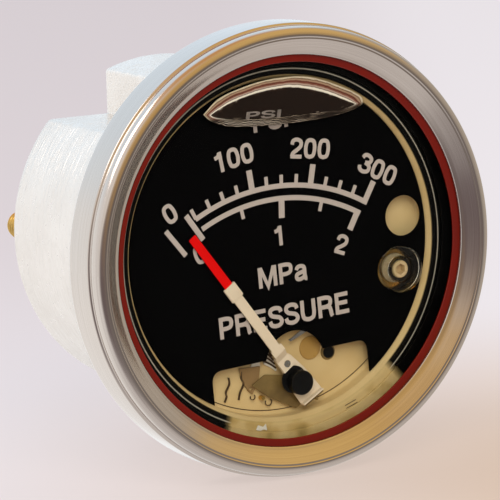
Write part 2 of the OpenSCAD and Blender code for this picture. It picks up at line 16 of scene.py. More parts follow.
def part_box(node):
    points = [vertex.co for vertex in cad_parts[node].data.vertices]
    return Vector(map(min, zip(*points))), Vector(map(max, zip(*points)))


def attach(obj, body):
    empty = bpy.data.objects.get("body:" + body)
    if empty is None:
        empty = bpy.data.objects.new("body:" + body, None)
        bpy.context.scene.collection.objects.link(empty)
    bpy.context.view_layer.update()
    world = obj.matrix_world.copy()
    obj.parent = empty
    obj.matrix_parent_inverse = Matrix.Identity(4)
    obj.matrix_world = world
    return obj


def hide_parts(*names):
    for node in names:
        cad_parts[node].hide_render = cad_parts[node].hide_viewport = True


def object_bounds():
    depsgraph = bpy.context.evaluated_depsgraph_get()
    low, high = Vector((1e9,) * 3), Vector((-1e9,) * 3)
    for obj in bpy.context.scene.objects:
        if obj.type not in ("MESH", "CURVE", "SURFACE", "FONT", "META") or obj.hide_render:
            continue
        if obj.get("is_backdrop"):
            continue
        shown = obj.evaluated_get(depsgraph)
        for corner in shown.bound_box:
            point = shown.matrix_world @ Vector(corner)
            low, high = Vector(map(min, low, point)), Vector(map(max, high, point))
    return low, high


bl_info = {
    "name": "Pressure gauge with limit contact",
    "version": (1, 0, 0),
    "blender": (4, 5, 0),
    "location": "3D View > Sidebar > Gauge",
    "description": "Builds the finished pieces of a panel pressure gauge over its packed frame",
    "category": "Object",
}

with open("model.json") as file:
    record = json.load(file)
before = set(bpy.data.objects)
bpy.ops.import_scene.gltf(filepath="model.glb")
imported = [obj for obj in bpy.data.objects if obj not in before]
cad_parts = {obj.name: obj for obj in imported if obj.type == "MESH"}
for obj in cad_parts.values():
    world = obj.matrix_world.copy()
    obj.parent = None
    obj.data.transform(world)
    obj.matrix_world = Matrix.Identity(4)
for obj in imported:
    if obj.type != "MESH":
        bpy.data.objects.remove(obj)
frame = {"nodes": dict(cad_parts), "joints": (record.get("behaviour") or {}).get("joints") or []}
MM = 0.001


def low(node, axis):
    """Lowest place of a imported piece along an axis, in millimetres."""
    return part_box(node)[0][axis] / MM


def high(node, axis):
    """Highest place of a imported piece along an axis, in millimetres."""
    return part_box(node)[1][axis] / MM


def joint_place(name):
    """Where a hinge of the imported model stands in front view, in millimetres."""
    for j in frame["joints"]:
        if j["name"] == name:
            return (j["pos_m"][0] / MM, j["pos_m"][2] / MM)
    raise RuntimeError(f"the packed model has no joint {name}")


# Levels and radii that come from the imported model, in millimetres
BEZEL_R, BEZEL_FRONT = high("bezel", 0), low("bezel", 1)
BARREL_END = high("case", 1)
LENS_FRONT = low("lens", 1)
LENS_BACK = low("rear_gasket", 1)
BOSS_END = high("lens", 1)
SEAL_R = high("lens", 0)
GASKET_FRONT, GASKET_BACK = low("lens_gasket", 1), high("lens_gasket", 1)
PAN_LIP, PAN_BACK = low("pan", 1), high("pan", 1)
PAN_FLOOR = high("dial_standoffs", 1)
DIAL_FRONT, DIAL_BACK, DIAL_R = low("dial", 1), high("dial", 1), high("dial", 2)
PIVOT = joint_place("pointer_turn")
ADJUSTER = joint_place("adjuster_turn")


# ---- numbers and grids --------------------------------------------------------


def linear(hex_colour):
    """sRGB hex to linear: each channel is divided by 12.92 when dark, and otherwise raised to 2.4 after its offset."""
    c = np.array([int(hex_colour[i : i + 2], 16) for i in (1, 3, 5)]) / 255
    return tuple(np.where(c <= 0.04045, c / 12.92, ((c + 0.055) / 1.055) ** 2.4))


def circle_points(n, r=1.0, centre=(0.0, 0.0), start=0.0):
    """n points evenly round a circle: centre plus r times cosine and sine of the angle."""
    a = start + np.linspace(0, 2 * np.pi, n, endpoint=False)
    return np.stack([centre[0] + r * np.cos(a), centre[1] + r * np.sin(a)], 1)


def rounded(points, radii, steps=6, closed=False):
    """A polyline with its corners rounded. Each corner becomes a quadratic Bezier between two points
    that lie its radius away along both edges, or half an edge where that is shorter."""
    p = np.asarray(points, float)
    radii = np.broadcast_to(radii, len(p))
    out = []
    t = np.linspace(0, 1, steps + 1)[:, None]
    for i in range(len(p)):
        if not closed and i in (0, len(p) - 1) or radii[i] <= 0:
            out.append(p[i : i + 1])
            continue
        a, b = p[i - 1] - p[i], p[(i + 1) % len(p)] - p[i]
        la, lb = np.linalg.norm(a), np.linalg.norm(b)
        a, b = p[i] + a * min(radii[i] / la, 0.5), p[i] + b * min(radii[i] / lb, 0.5)
        out.append((1 - t) ** 2 * a + 2 * t * (1 - t) * p[i] + t**2 * b)
    return np.concatenate(out)


def smooth_through(points, steps=6):
    """A smooth line through points: Catmull-Rom, a cubic whose slope at each point is half the way
    between its neighbours."""
    p = np.asarray(points, float)
    q = np.concatenate([2 * p[:1] - p[1:2], p, 2 * p[-1:] - p[-2:-1]])
    t = np.linspace(0, 1, steps, endpoint=False)[:, None]
    seg = [
        0.5
        * (
            2 * q[i + 1]
            + (q[i + 2] - q[i]) * t
            + (2 * q[i] - 5 * q[i + 1] + 4 * q[i + 2] - q[i + 3]) * t**2
            + (3 * q[i + 1] - q[i] - 3 * q[i + 2] + q[i + 3]) * t**3
        )
        for i in range(len(p) - 1)
    ]
    return np.concatenate(seg + [p[-1:]])


def grid_faces(rows, cols, close_rows=False, close_cols=False):
    """Quads of a grid of rows x cols vertices, joined round where a direction is closed."""
    i = np.arange(rows if close_rows else rows - 1)
    j = np.arange(cols if close_cols else cols - 1)
    i, j = np.meshgrid(i, j, indexing="ij")
    a = i * cols + j
    b = i * cols + (j + 1) % cols
    c = (i + 1) % rows * cols + (j + 1) % cols
    d = (i + 1) % rows * cols + j
    return np.stack([a, b, c, d], -1).reshape(-1, 4)


def piece(name, verts, faces, material, body, slot, replaces=(), sharp=35, uvs=None):
    """A mesh object from millimetre points: doubles merged, faces turned outwards, smooth but for edges
    sharper than the angle, riding on its body. With uvs, one pair for each point, the points are kept as
    they come."""
    mesh = bpy.data.meshes.new(name)
    mesh.from_pydata(
        (np.asarray(verts, float) * MM).tolist(), [], [list(map(int, f)) for f in faces]
    )
    if uvs is None:
        bm = bmesh.new()
        bm.from_mesh(mesh)
        bmesh.ops.remove_doubles(bm, verts=bm.verts, dist=2e-7)
        bmesh.ops.dissolve_degenerate(bm, edges=bm.edges, dist=1e-7)
        bmesh.ops.recalc_face_normals(bm, faces=bm.faces)
        bm.to_mesh(mesh)
        bm.free()
    else:
        corner = np.zeros(len(mesh.loops), int)
        mesh.loops.foreach_get("vertex_index", corner)
        layer = mesh.uv_layers.new(name="UVMap")
        layer.data.foreach_set("uv", np.asarray(uvs, float)[corner].ravel())
    obj = bpy.data.objects.new(name, mesh)
    bpy.context.scene.collection.objects.link(obj)
    mesh.polygons.foreach_set("use_smooth", np.ones(len(mesh.polygons), bool))
    mesh.set_sharp_from_angle(angle=math.radians(sharp))
    mesh.materials.append(material)
    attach(obj, body)
    if replaces:
        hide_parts(*replaces)
    return obj


def joined(parts):
    """Several (verts, faces) as one."""
    verts, faces, n = [], [], 0
    for v, f in parts:
        verts.append(np.asarray(v, float).reshape(-1, 3))
        faces += [[int(k) + n for k in q] for q in f]
        n += len(verts[-1])
    return np.concatenate(verts), faces


def turned(profile, centre=(0.0, 0.0), around=160, closed=True):
    """A profile of (radius, y) points turned about an axis along Y: x = radius times the cosine of the
    angle, z = radius times its sine. A closed profile makes a ring; an open one starts and ends on the axis."""
    p = np.asarray(profile, float)
    a = np.linspace(0, 2 * np.pi, around, endpoint=False)
    x = centre[0] + p[:, :1] * np.cos(a)
    z = centre[1] + p[:, :1] * np.sin(a)
    y = np.broadcast_to(p[:, 1:], x.shape)
    v = np.stack([x, y, z], -1).reshape(-1, 3)
    return v, grid_faces(len(p), around, closed, True)


def lofted(loops, closed=False):
    """Closed loops of the same number of (x, y, z) points, joined in order. A closed loft makes a ring."""
    loops = np.asarray(loops, float)
    return loops.reshape(-1, 3), grid_faces(len(loops), loops.shape[1], closed, True)


def front_loop(points, y):
    """A front-view outline of (x, z) points set at a depth y."""
    p = np.asarray(points, float)
    return np.stack([p[:, 0], np.broadcast_to(np.asarray(y, float), len(p)), p[:, 1]], 1)


def inset(points, d):
    """A closed outline moved inwards by d: each point goes along the mean of its two edges' normals,
    lengthened at corners so that the edges stay parallel."""
    p = np.asarray(points, float)
    e = np.roll(p, -1, 0) - p
    e /= np.maximum(np.linalg.norm(e, axis=1, keepdims=True), 1e-12)
    n = np.stack([-e[:, 1], e[:, 0]], 1)
    m = n + np.roll(n, 1, 0)
    m /= np.maximum(np.sum(m * m, 1, keepdims=True) / 2, 0.35)
    area = np.sum(p[:, 0] * np.roll(p[:, 1], -1) - np.roll(p[:, 0], -1) * p[:, 1])
    return p + m * d * (1 if area > 0 else -1)


def filled(outlines, y):
    """A flat face at depth y with its first outline filled and the others left as holes."""
    bm = bmesh.new()
    edges = []
    for line in outlines:
        vs = [bm.verts.new(p) for p in front_loop(line, y)]
        edges += [bm.edges.new((vs[i], vs[i - 1])) for i in range(len(vs))]
    bmesh.ops.triangle_fill(bm, edges=edges, use_beauty=True)
    bm.verts.index_update()
    v = np.array([p.co for p in bm.verts])
    f = [[q.index for q in t.verts] for t in bm.faces]
    bm.free()
    return v, f


def sheet(outlines, y0, y1, edge=0.05):
    """A flat plate from y0 back to y1 with holes, its edges broken by a small chamfer: both faces are
    filled from outlines moved into the material by the chamfer, and a wall of four loops joins them."""
    parts, small = [], []
    for k, line in enumerate(outlines):
        line = np.asarray(line, float)
        near = inset(line, edge if k == 0 else -edge)
        small.append(near)
        parts.append(
            lofted(
                [
                    front_loop(near, y0),
                    front_loop(line, y0 + edge),
                    front_loop(line, y1 - edge),
                    front_loop(near, y1),
                ]
            )
        )
    parts += [filled(small, y0), filled(small, y1)]
    return joined(parts)


def ribbon(points, width, y0, y1, closed=False):
    """A printed stroke: the line is moved to both sides by half its width, along its own normals, and
    the strip between is given a thickness from y0 to y1."""
    p = np.asarray(points, float)
    if closed:
        e = np.roll(p, -1, 0) - p
        e /= np.linalg.norm(e, axis=1, keepdims=True)
        n = np.stack([-e[:, 1], e[:, 0]], 1)
        m = n + np.roll(n, 1, 0)
        m /= np.maximum(np.sum(m * m, 1, keepdims=True) / 2, 0.3)
    else:
        e = np.diff(p, axis=0)
        e /= np.linalg.norm(e, axis=1, keepdims=True)
        n = np.stack([-e[:, 1], e[:, 0]], 1)
        m = np.concatenate([n[:1], n[:-1] + n[1:], n[-1:]])
        m /= np.maximum(np.sum(m * m, 1, keepdims=True), 1e-9) ** 0.5
        m[1:-1] /= np.maximum(np.sum(m[1:-1] * n[1:], 1, keepdims=True), 0.45)
    a, b = p + m * width / 2, p - m * width / 2
    rows = np.stack(
        [front_loop(a, y0), front_loop(b, y0), front_loop(b, y1), front_loop(a, y1)], 1
    )
    faces = grid_faces(len(p), 4, closed, True).tolist()
    if not closed:
        k = 4 * (len(p) - 1)
        faces += [[0, 1, 2, 3], [k + 3, k + 2, k + 1, k]]
    return rows.reshape(-1, 3), faces


def moved(part, turn=0.0, about=(0.0, 0.0)):
    """Points turned clockwise in front view by a number of degrees about a place (x, z)."""
    v, f = part
    v = np.array(v, float)
    c, s = math.cos(math.radians(turn)), math.sin(math.radians(turn))
    x, z = v[:, 0] - about[0], v[:, 2] - about[1]
    v[:, 0], v[:, 2] = about[0] + c * x + s * z, about[1] - s * x + c * z
    return v, f


# ---- materials -----------------------------------------------------------------


class Finish:
    """A material and its node tree. node() adds one node with its settings and links."""

    def __init__(self, name):
        self.material = bpy.data.materials.new(name)
        self.material.use_nodes = True
        self.tree = self.material.node_tree
        self.tree.nodes.clear()
        self.out = self.node("ShaderNodeOutputMaterial")

    def node(self, kind, settings=None, **inputs):
        """Adds a node. Settings are its own properties; inputs are socket values, or links where they are sockets."""
        n = self.tree.nodes.new(kind)
        for k, v in (settings or {}).items():
            setattr(n, k, v)
        for k, v in inputs.items():
            key = int(k[1:]) if k[0] == "i" and k[1:].isdigit() else k.replace("_", " ")
            if isinstance(v, bpy.types.NodeSocket):
                self.tree.links.new(v, n.inputs[key])
            else:
                n.inputs[key].default_value = v
        return n

    def ramp(self, factor, stops):
        """A colour ramp; stops are (place, colour or grey)."""
        n = self.node("ShaderNodeValToRGB", i0=factor)
        while len(n.color_ramp.elements) < len(stops):
            n.color_ramp.elements.new(0.5)
        for e, (at, c) in zip(n.color_ramp.elements, stops):
            e.position = at
            e.color = (*c, 1) if hasattr(c, "__len__") else (c, c, c, 1)
        return n.outputs["Color"]

    def place(self):
        """Object coordinates, which are the row frame's metres."""
        return self.node("ShaderNodeTexCoord").outputs["Object"]

    def scaled(self, x, y, z):
        """Object coordinates times a scale for each axis."""
        return self.node("ShaderNodeMapping", Vector=self.place(), Scale=(x, y, z)).outputs[0]

    def noise(self, vector, scale, detail=3.0, roughness=0.5):
        return self.node(
            "ShaderNodeTexNoise", Vector=vector, Scale=scale, Detail=detail, Roughness=roughness
        ).outputs["Fac"]

    def maths(self, operation, a, b=0.0):
        return self.node("ShaderNodeMath", {"operation": operation}, i0=a, i1=b).outputs[0]

    def polar(self, centre=(0.0, 0.0)):
        """Radius from an axis along Y, in metres, and the angle round it, in turns."""
        shifted = self.node(
            "ShaderNodeMapping", Vector=self.place(), Location=(-centre[0] * MM, 0, -centre[1] * MM)
        )
        xyz = self.node("ShaderNodeSeparateXYZ", Vector=shifted.outputs[0])
        x, y, z = xyz.outputs
        r = self.maths("SQRT", self.maths("ADD", self.maths("MULTIPLY", x, x), self.maths("MULTIPLY", z, z)))
        turn = self.maths("DIVIDE", self.maths("ARCTAN2", z, x), 2 * math.pi)
        return r, turn, y

    def mixed(self, factor, a, b):
        n = self.node("ShaderNodeMix", {"data_type": "RGBA"})
        for key, v in ((0, factor), (6, a), (7, b)):
            if isinstance(v, bpy.types.NodeSocket):
                self.tree.links.new(v, n.inputs[key])
            else:
                n.inputs[key].default_value = (*v, 1) if hasattr(v, "__len__") else v
        return n.outputs[2]

    def bump(self, height, distance, strength=1.0):
        """A bump whose full height is the distance, in metres."""
        return self.node(
            "ShaderNodeBump", Height=height, Distance=distance, Strength=strength
        ).outputs[0]

    def shade(self, **sockets):
        b = self.node("ShaderNodeBsdfPrincipled", **sockets)
        self.tree.links.new(b.outputs[0], self.out.inputs["Surface"])
        return self.material



def look():
    """The user's settings for colours."""
    return bpy.context.scene.gauge_look


def spun_steel():
    """Stainless steel, spun and satin polished: a warm grey mirror that fine rings round its axis blur
    outwards, with soft bands where the polishing wheel pressed harder."""
    m = Finish("Stainless steel, spun and satin polished")
    r, turn, y = m.polar()
    rings = m.node(
        "ShaderNodeCombineXYZ",
        X=m.maths("MULTIPLY", r, 5200),
        Y=m.maths("MULTIPLY", turn, 9),
        Z=m.maths("MULTIPLY", y, 5200),
    )
    fine = m.noise(rings.outputs[0], 1.0, 2.0)
    bands = m.noise(m.scaled(60, 60, 60), 1.0, 2.0)
    rough = m.node(
        "ShaderNodeMapRange", Value=bands, From_Min=0.3, From_Max=0.7, To_Min=0.10, To_Max=0.18
    )
    tangent = m.node("ShaderNodeTangent", {"direction_type": "RADIAL", "axis": "Y"})
    return m.shade(
        Base_Color=m.mixed(fine, linear("#BDB3AA"), tuple(look().steel)),
        Metallic=1.0,
        Roughness=rough.outputs[0],
        Anisotropic=0.5,
        Tangent=tangent.outputs[0],
        Normal=m.bump(fine, 0.000004),
    )


def cast_aluminium():
    """Die-cast aluminium, turned on the barrel: bright white metal whose tool lines run round the axis
    about 0.7 mm apart and break up where the skin is rough."""
    m = Finish("Aluminium, die cast and turned")
    r, turn, y = m.polar()
    lines = m.node(
        "ShaderNodeCombineXYZ",
        X=m.maths("MULTIPLY", y, 1500),
        Y=m.maths("MULTIPLY", turn, 22),
        Z=m.maths("MULTIPLY", r, 1500),
    )
    tool = m.noise(lines.outputs[0], 1.0, 2.5, 0.6)
    skin = m.noise(m.scaled(900, 900, 900), 1.0, 4.0, 0.6)
    height = m.maths("ADD", m.maths("MULTIPLY", tool, 0.9), m.maths("MULTIPLY", skin, 0.12))
    tone = m.noise(m.scaled(90, 90, 90), 1.0, 3.0)
    rough = m.node("ShaderNodeMapRange", Value=skin, From_Min=0.3, From_Max=0.7, To_Min=0.26, To_Max=0.42)
    return m.shade(
        Base_Color=m.mixed(tone, linear("#D8D2CA"), tuple(look().casting)),
        Metallic=0.7,
        Roughness=rough.outputs[0],
        Normal=m.bump(height, 0.0002),
    )


def clear_lens():
    """Clear polycarbonate over oil: almost no body colour, and a weak reflection that grows at a slant."""
    m = Finish("Polycarbonate, clear")
    clear = m.node("ShaderNodeBsdfTransparent", Color=(*linear("#FBFCFA"), 1))
    gloss = m.node("ShaderNodeBsdfGlossy", Roughness=0.03, Color=(1, 1, 1, 1))
    fresnel = m.node("ShaderNodeFresnel", IOR=1.07)
    mix = m.node("ShaderNodeMixShader", i0=fresnel.outputs[0], i1=clear.outputs[0], i2=gloss.outputs[0])
    m.tree.links.new(mix.outputs[0], m.out.inputs["Surface"])
    return m.material


def boss_lens():
    """The same polycarbonate where it is thick, in the adjuster's boss: clear when looked into, with painted
    shade where its walls turn away, and a bright reflection on the edges."""
    m = Finish("Polycarbonate, thick, painted wall shade")
    clear = m.node("ShaderNodeBsdfTransparent", Color=(*linear("#F5F0E4"), 1))
    # painted shade: a dull brown, mixed in by how far the wall turns from the view, in place of the light the thick
    # walls bend away
    dark = m.node("ShaderNodeBsdfDiffuse", Color=(*linear("#3A2E20"), 1))
    slant = m.node("ShaderNodeLayerWeight", Blend=0.5).outputs["Facing"]
    wall = m.ramp(slant, [(0.0, 0.0), (0.74, 0.0), (0.8, 0.5), (0.85, 0.04), (0.95, 0.04), (1.0, 0.6)])
    seen = m.node("ShaderNodeMixShader", i0=wall, i1=clear.outputs[0], i2=dark.outputs[0])
    gloss = m.node("ShaderNodeBsdfGlossy", Roughness=0.04, Color=(1, 1, 1, 1))
    fresnel = m.node("ShaderNodeFresnel", IOR=1.35)
    mix = m.node("ShaderNodeMixShader", i0=fresnel.outputs[0], i1=seen.outputs[0], i2=gloss.outputs[0])
    m.tree.links.new(mix.outputs[0], m.out.inputs["Surface"])
    return m.material


def painted_edge_light_and_shade(m, pale, dark):
    """Painted light and shade on the ring between the pan's rim and the red seal, seen through the lens's rim: painted
    shade, near black, all round with one thin pale line, and painted light, the pale colour with brown patches, along
    the foot of the dial."""
    r, turn, y = m.polar()
    # painted light: the pale colour goes only along the foot of the dial, where light falls on the ring; the dark
    # colour everywhere else is painted shade
    foot = m.ramp(m.maths("ADD", turn, 0.5), [(0.187, 0.0), (0.189, 1.0), (0.366, 1.0), (0.368, 0.0)])
    patch = m.noise(m.scaled(190, 190, 190), 1.0, 2.0)
    mottled = m.ramp(patch, [(0.46, pale), (0.6, linear("#B89B60")), (0.72, linear("#8A7440"))])
    thin = m.ramp(m.maths("MULTIPLY", r, 25.0), [(0.7525, 0.0), (0.7535, 1.0), (0.7555, 1.0), (0.7565, 0.0)])
    out = m.ramp(m.maths("MULTIPLY", r, 25.0), [(0.7270, 0.0), (0.7285, 1.0)])
    ring_light_and_shade = m.mixed(foot, m.mixed(thin, dark, linear("#B9B2A2")), mottled)
    return out, ring_light_and_shade


def chromated_pan():
    """Zinc plate with a yellow chromate, worn satin: pale straw metal, faintly mottled. On the lip beyond
    the rim it carries painted shade, near black, and painted light along the foot of the dial."""
    m = Finish("Zinc plate, yellow chromate")
    patch = m.noise(m.scaled(130, 130, 130), 1.0, 3.0, 0.55)
    plate = m.mixed(patch, linear("#CFAE74"), tuple(look().pan))
    # the lip's near-black colour is painted shade, and its pale foot is painted light
    out, ring_light_and_shade = painted_edge_light_and_shade(m, linear("#CDB27C"), linear("#050505"))
    rough = m.node("ShaderNodeMapRange", Value=patch, From_Min=0.3, From_Max=0.7, To_Min=0.38, To_Max=0.5)
    return m.shade(Base_Color=m.mixed(out, plate, ring_light_and_shade), Metallic=0.0, Roughness=rough.outputs[0], Specular_IOR_Level=0.12)


def seal_painted_light():
    """Black rubber wet by the filling, with painted shade all round and painted light in the pan's colour along the
    foot of the dial.
    """
    m = Finish("Nitrile rubber, black, painted light and shade")
    out, ring_light_and_shade = painted_edge_light_and_shade(m, linear("#C9AE78"), linear("#060606"))
    return m.shade(Base_Color=ring_light_and_shade, Roughness=0.4, Specular_IOR_Level=0.12)


def bubble_painted_reflections():
    """The air bubble behind the lens, drawn as painted reflections and painted shade. Across its rim, from outside in:
    a beige line, red brown, pinkish beige and a bright line, the bright ones painted highlights and the browns painted
    shade; inside it a painted brown black. Its lower side has only fine broken lines."""
    m = Finish("Air bubble, painted reflections and shade")
    uv = m.node("ShaderNodeTexCoord").outputs["UV"]
    along, across, none = m.node("ShaderNodeSeparateXYZ", Vector=uv).outputs
    wave = m.noise(m.scaled(700, 700, 700), 1.0, 3.0)
    shaken = m.maths("ADD", across, m.maths("MULTIPLY", m.maths("SUBTRACT", wave, 0.5), 0.16))
    film = linear("#1A120E")
    # painted highlights and painted shade across the upper rim
    upper = m.ramp(shaken, [
        (0.0, linear("#CDBB9C")), (0.1, linear("#E2D2B6")), (0.15, linear("#6E543E")), (0.26, linear("#B8977C")),
        (0.38, linear("#5A1C10")), (0.5, linear("#8C5A48")), (0.6, linear("#C4AC9C")), (0.68, linear("#6E584C")),
        (0.74, linear("#FAF2E2")), (0.88, linear("#F0E6D4")), (0.92, linear("#3A2C24")), (0.95, film),
    ])
    # painted reflections on the lower rim: fine pale lines broken up by noise
    lines = m.maths("SINE", m.maths("ADD", m.maths("MULTIPLY", shaken, 34.0), m.maths("MULTIPLY", wave, 9.0)))
    broken = m.maths("MULTIPLY", lines, m.noise(m.scaled(260, 260, 900), 1.0, 2.0))
    lower = m.ramp(broken, [(0.2, linear("#0B0807")), (0.32, linear("#4A3A30")), (0.42, linear("#B9A690")), (0.55, linear("#D9CCBC"))])
    rim = m.ramp(across, [(0.0, 1.0), (0.9, 1.0), (0.97, 0.0)])
    lower = m.mixed(rim, film, lower)
    x, y, z = m.node("ShaderNodeSeparateXYZ", Vector=m.place()).outputs
    # the upper rim takes the bright painted bands, and the lower rim only the fine painted lines
    side = m.node("ShaderNodeMapRange", {"interpolation_type": "SMOOTHSTEP"}, Value=z, From_Min=0.0225, From_Max=0.0234)
    grain = m.noise(m.scaled(1500, 1500, 1500), 1.0, 2.0)
    colour = m.mixed(side.outputs[0], lower, upper)
    return m.shade(Base_Color=m.mixed(m.maths("MULTIPLY", grain, 0.08), colour, linear("#6A5044")), Roughness=0.3, Specular_IOR_Level=0.15)


def plain(name, base, other=None, metallic=0.0, roughness=0.4, grain=0.0004, relief=0.0, **more):
    """A finish of two near tones in soft patches of the grain size, in metres, with a relief to match."""
    m = Finish(name)
    patch = m.noise(m.scaled(1 / grain, 1 / grain, 1 / grain), 0.35, 3.0, 0.55)
    rough = m.node(
        "ShaderNodeMapRange", Value=patch, From_Min=0.3, From_Max=0.7,
        To_Min=max(roughness - 0.05, 0.02), To_Max=roughness + 0.06,
    )
    sockets = dict(
        Base_Color=m.mixed(patch, base, other or base), Metallic=metallic, Roughness=rough.outputs[0], **more
    )
    if relief:
        sockets["Normal"] = m.bump(patch, relief)
    return m.shade(**sockets)


FINISHES = {}


def finish(key):
    """Each finish is made once, when a piece first asks for it."""
    if key not in FINISHES:
        FINISHES[key] = {
            "steel": spun_steel,
            "casting": cast_aluminium,
            "lens": clear_lens,
            "boss": boss_lens,
            # silicone rubber, moulded: deep red that light enters a little, with a soft shine
            "red seal": lambda: plain(
                "Silicone rubber, red", tuple(look().seal), linear("#660F03"), 0.0, 0.2, 0.004, 0.0,
                Specular_IOR_Level=0.35,
            ),
            "pan": chromated_pan,
            "seal with painted light": seal_painted_light,
            "bubble": bubble_painted_reflections,
            # plated steel, satin, its warm colour a painted reflection of the pan round it
            "shaft": lambda: plain("Steel, plated, pan reflection painted", linear("#D8C294"), linear("#C9B07E"), 0.2, 0.35, 0.001),
            # a painted reflection: the printed unit, seen dimly in the bubble
            "ghost": lambda: plain("Print, painted reflection in the bubble", linear("#2A201B"), linear("#B0A49C"), 0.0, 0.6, 0.0004),
            # copper alloy plate, dull brown
            "leaf": lambda: plain("Copper alloy, dull", linear("#A68658"), linear("#8C6C42"), 0.2, 0.45, 0.002),
            # the same copper alloy, darkened by painted shadow between parts
            "wire in painted shadow": lambda: plain("Spring wire, painted shadow", linear("#3A2A1C"), linear("#5A432C"), 0.2, 0.45, 0.001),
            # screen-printed black enamel on aluminium: flat and very dark
            "dial": lambda: plain(
                "Black enamel, screen printed", linear("#030304"), linear("#060607"), 0.0, 0.7, 0.0005, 0.0,
                Specular_IOR_Level=0.03,
            ),
            # screen ink, warm grey, slightly speckled
            "ink": lambda: plain(
                "Screen ink, warm grey", tuple(look().ink), linear("#BCAFA7"), 0.0, 0.6, 0.0003, 0.0,
                Specular_IOR_Level=0.2,
            ),
            # pointer sheet, stove enamelled in cream
            "cream": lambda: plain(
                "Enamel, cream, on sheet metal", tuple(look().pointer), linear("#E6D2B4"), 0.0, 0.38, 0.002, 0.00001
            ),
            # gloss enamel, signal red
            "red": lambda: plain("Enamel, signal red", tuple(look().tip), linear("#E80202"), 0.0, 0.35, 0.001, Specular_IOR_Level=0.15),
            # moulded nylon, black, for the hub cap
            "black": lambda: plain(
                "Nylon, black, moulded", linear("#060607"), linear("#0C0C0E"), 0.0, 0.35, 0.0008, 0.00001,
                Specular_IOR_Level=0.25,
            ),
            # beryllium copper, aged: olive brown with darker clouds
            "bronze": lambda: plain(
                "Beryllium copper, aged", linear("#5A4522"), linear("#A08550"), 0.2, 0.34, 0.0009, 0.00002
            ),
            # leaded brass, turned: warm yellow with a soft shine
            "brass": lambda: plain("Brass, turned", linear("#C9A357"), linear("#D8B56B"), 0.95, 0.24, 0.0012, 0.00001),
            # amber varnish on brass
            "amber": lambda: plain(
                "Brass under amber varnish", linear("#C29A52"), linear("#A57C3C"), 0.0, 0.3, 0.0022, 0.0
            ),
            # carbon steel, bright drawn
            "bright": lambda: plain("Steel, bright drawn", linear("#B9B5AF"), linear("#CFCBC4"), 1.0, 0.22, 0.001),
            # nylon, natural: warm white that light enters a little
            "nylon": lambda: plain(
                "Nylon, natural", linear("#E6E0D2"), linear("#DDD5C4"), 0.0, 0.42, 0.0015, 0.00001,
                Subsurface_Weight=0.2, Subsurface_Radius=(0.001, 0.0008, 0.0006), Subsurface_Scale=0.5,
            ),
            # nitrile rubber, black
            "rubber": lambda: plain("Nitrile rubber, black", linear("#0A0A0B"), linear("#111113"), 0.0, 0.45, 0.0008, 0.00001),
            # fluorosilicone sheet
            "diaphragm": lambda: plain("Fluorosilicone, moulded", linear("#A34A2A"), linear("#8E3E22"), 0.0, 0.5, 0.001),
        }[key]()
    return FINISHES[key]


# ---- settings --------------------------------------------------------------------


class GaugeLook(bpy.types.PropertyGroup):
    """Colours of the finishes."""

    steel: FloatVectorProperty(name="Steel", description="Bezel steel", subtype="COLOR", size=3, min=0, max=1, default=linear("#D2C9C1"))
    casting: FloatVectorProperty(name="Casting", description="Turned casting", subtype="COLOR", size=3, min=0, max=1, default=linear("#EDE9E3"))
    seal: FloatVectorProperty(name="Seal", description="Silicone seal", subtype="COLOR", size=3, min=0, max=1, default=linear("#761404"))
    pan: FloatVectorProperty(name="Pan", description="Chromated pan", subtype="COLOR", size=3, min=0, max=1, default=linear("#E6CC98"))
    ink: FloatVectorProperty(name="Ink", description="Dial print", subtype="COLOR", size=3, min=0, max=1, default=linear("#C6B9B1"))
    pointer: FloatVectorProperty(name="Pointer", description="Pointer enamel", subtype="COLOR", size=3, min=0, max=1, default=linear("#EEDCC2"))
    tip: FloatVectorProperty(name="Pointer tip", description="Red tip", subtype="COLOR", size=3, min=0, max=1, default=linear("#F00000"))


class GaugeSizes(bpy.types.PropertyGroup):
    """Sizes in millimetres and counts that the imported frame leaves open."""

    around: IntProperty(name="Segments round", description="Faces round the largest rings", default=288, min=64, max=512)
    cast_edge: FloatProperty(name="Cast edge", description="Rounding of the casting's edges, mm", default=0.6, min=0.1, max=1.5)
    ink_proud: FloatProperty(name="Ink thickness", description="Thickness of the screen print, mm", default=0.02, min=0.005, max=0.05)
    cap_height: FloatProperty(name="Letter height", description="Height of the dial's capitals, mm", default=3.5, min=2, max=5)
    stroke: FloatProperty(name="Letter stroke", description="Stroke width over letter height", default=0.195, min=0.08, max=0.3)
    thread_pitch: FloatProperty(name="Pipe thread pitch", description="18 turns to the inch, mm", default=1.411, min=0.8, max=2)
    stud_pitch: FloatProperty(name="Stud thread pitch", description="32 turns to the inch, mm", default=0.794, min=0.4, max=1.5)


def sizes():
    """The user's settings for sizes."""
    return bpy.context.scene.gauge_sizes


class GaugePiece:
    """What the operators share: options that register them and let them be undone."""

    bl_options = {"REGISTER", "UNDO"}


# ---- bezel and case ------------------------------------------------------------------


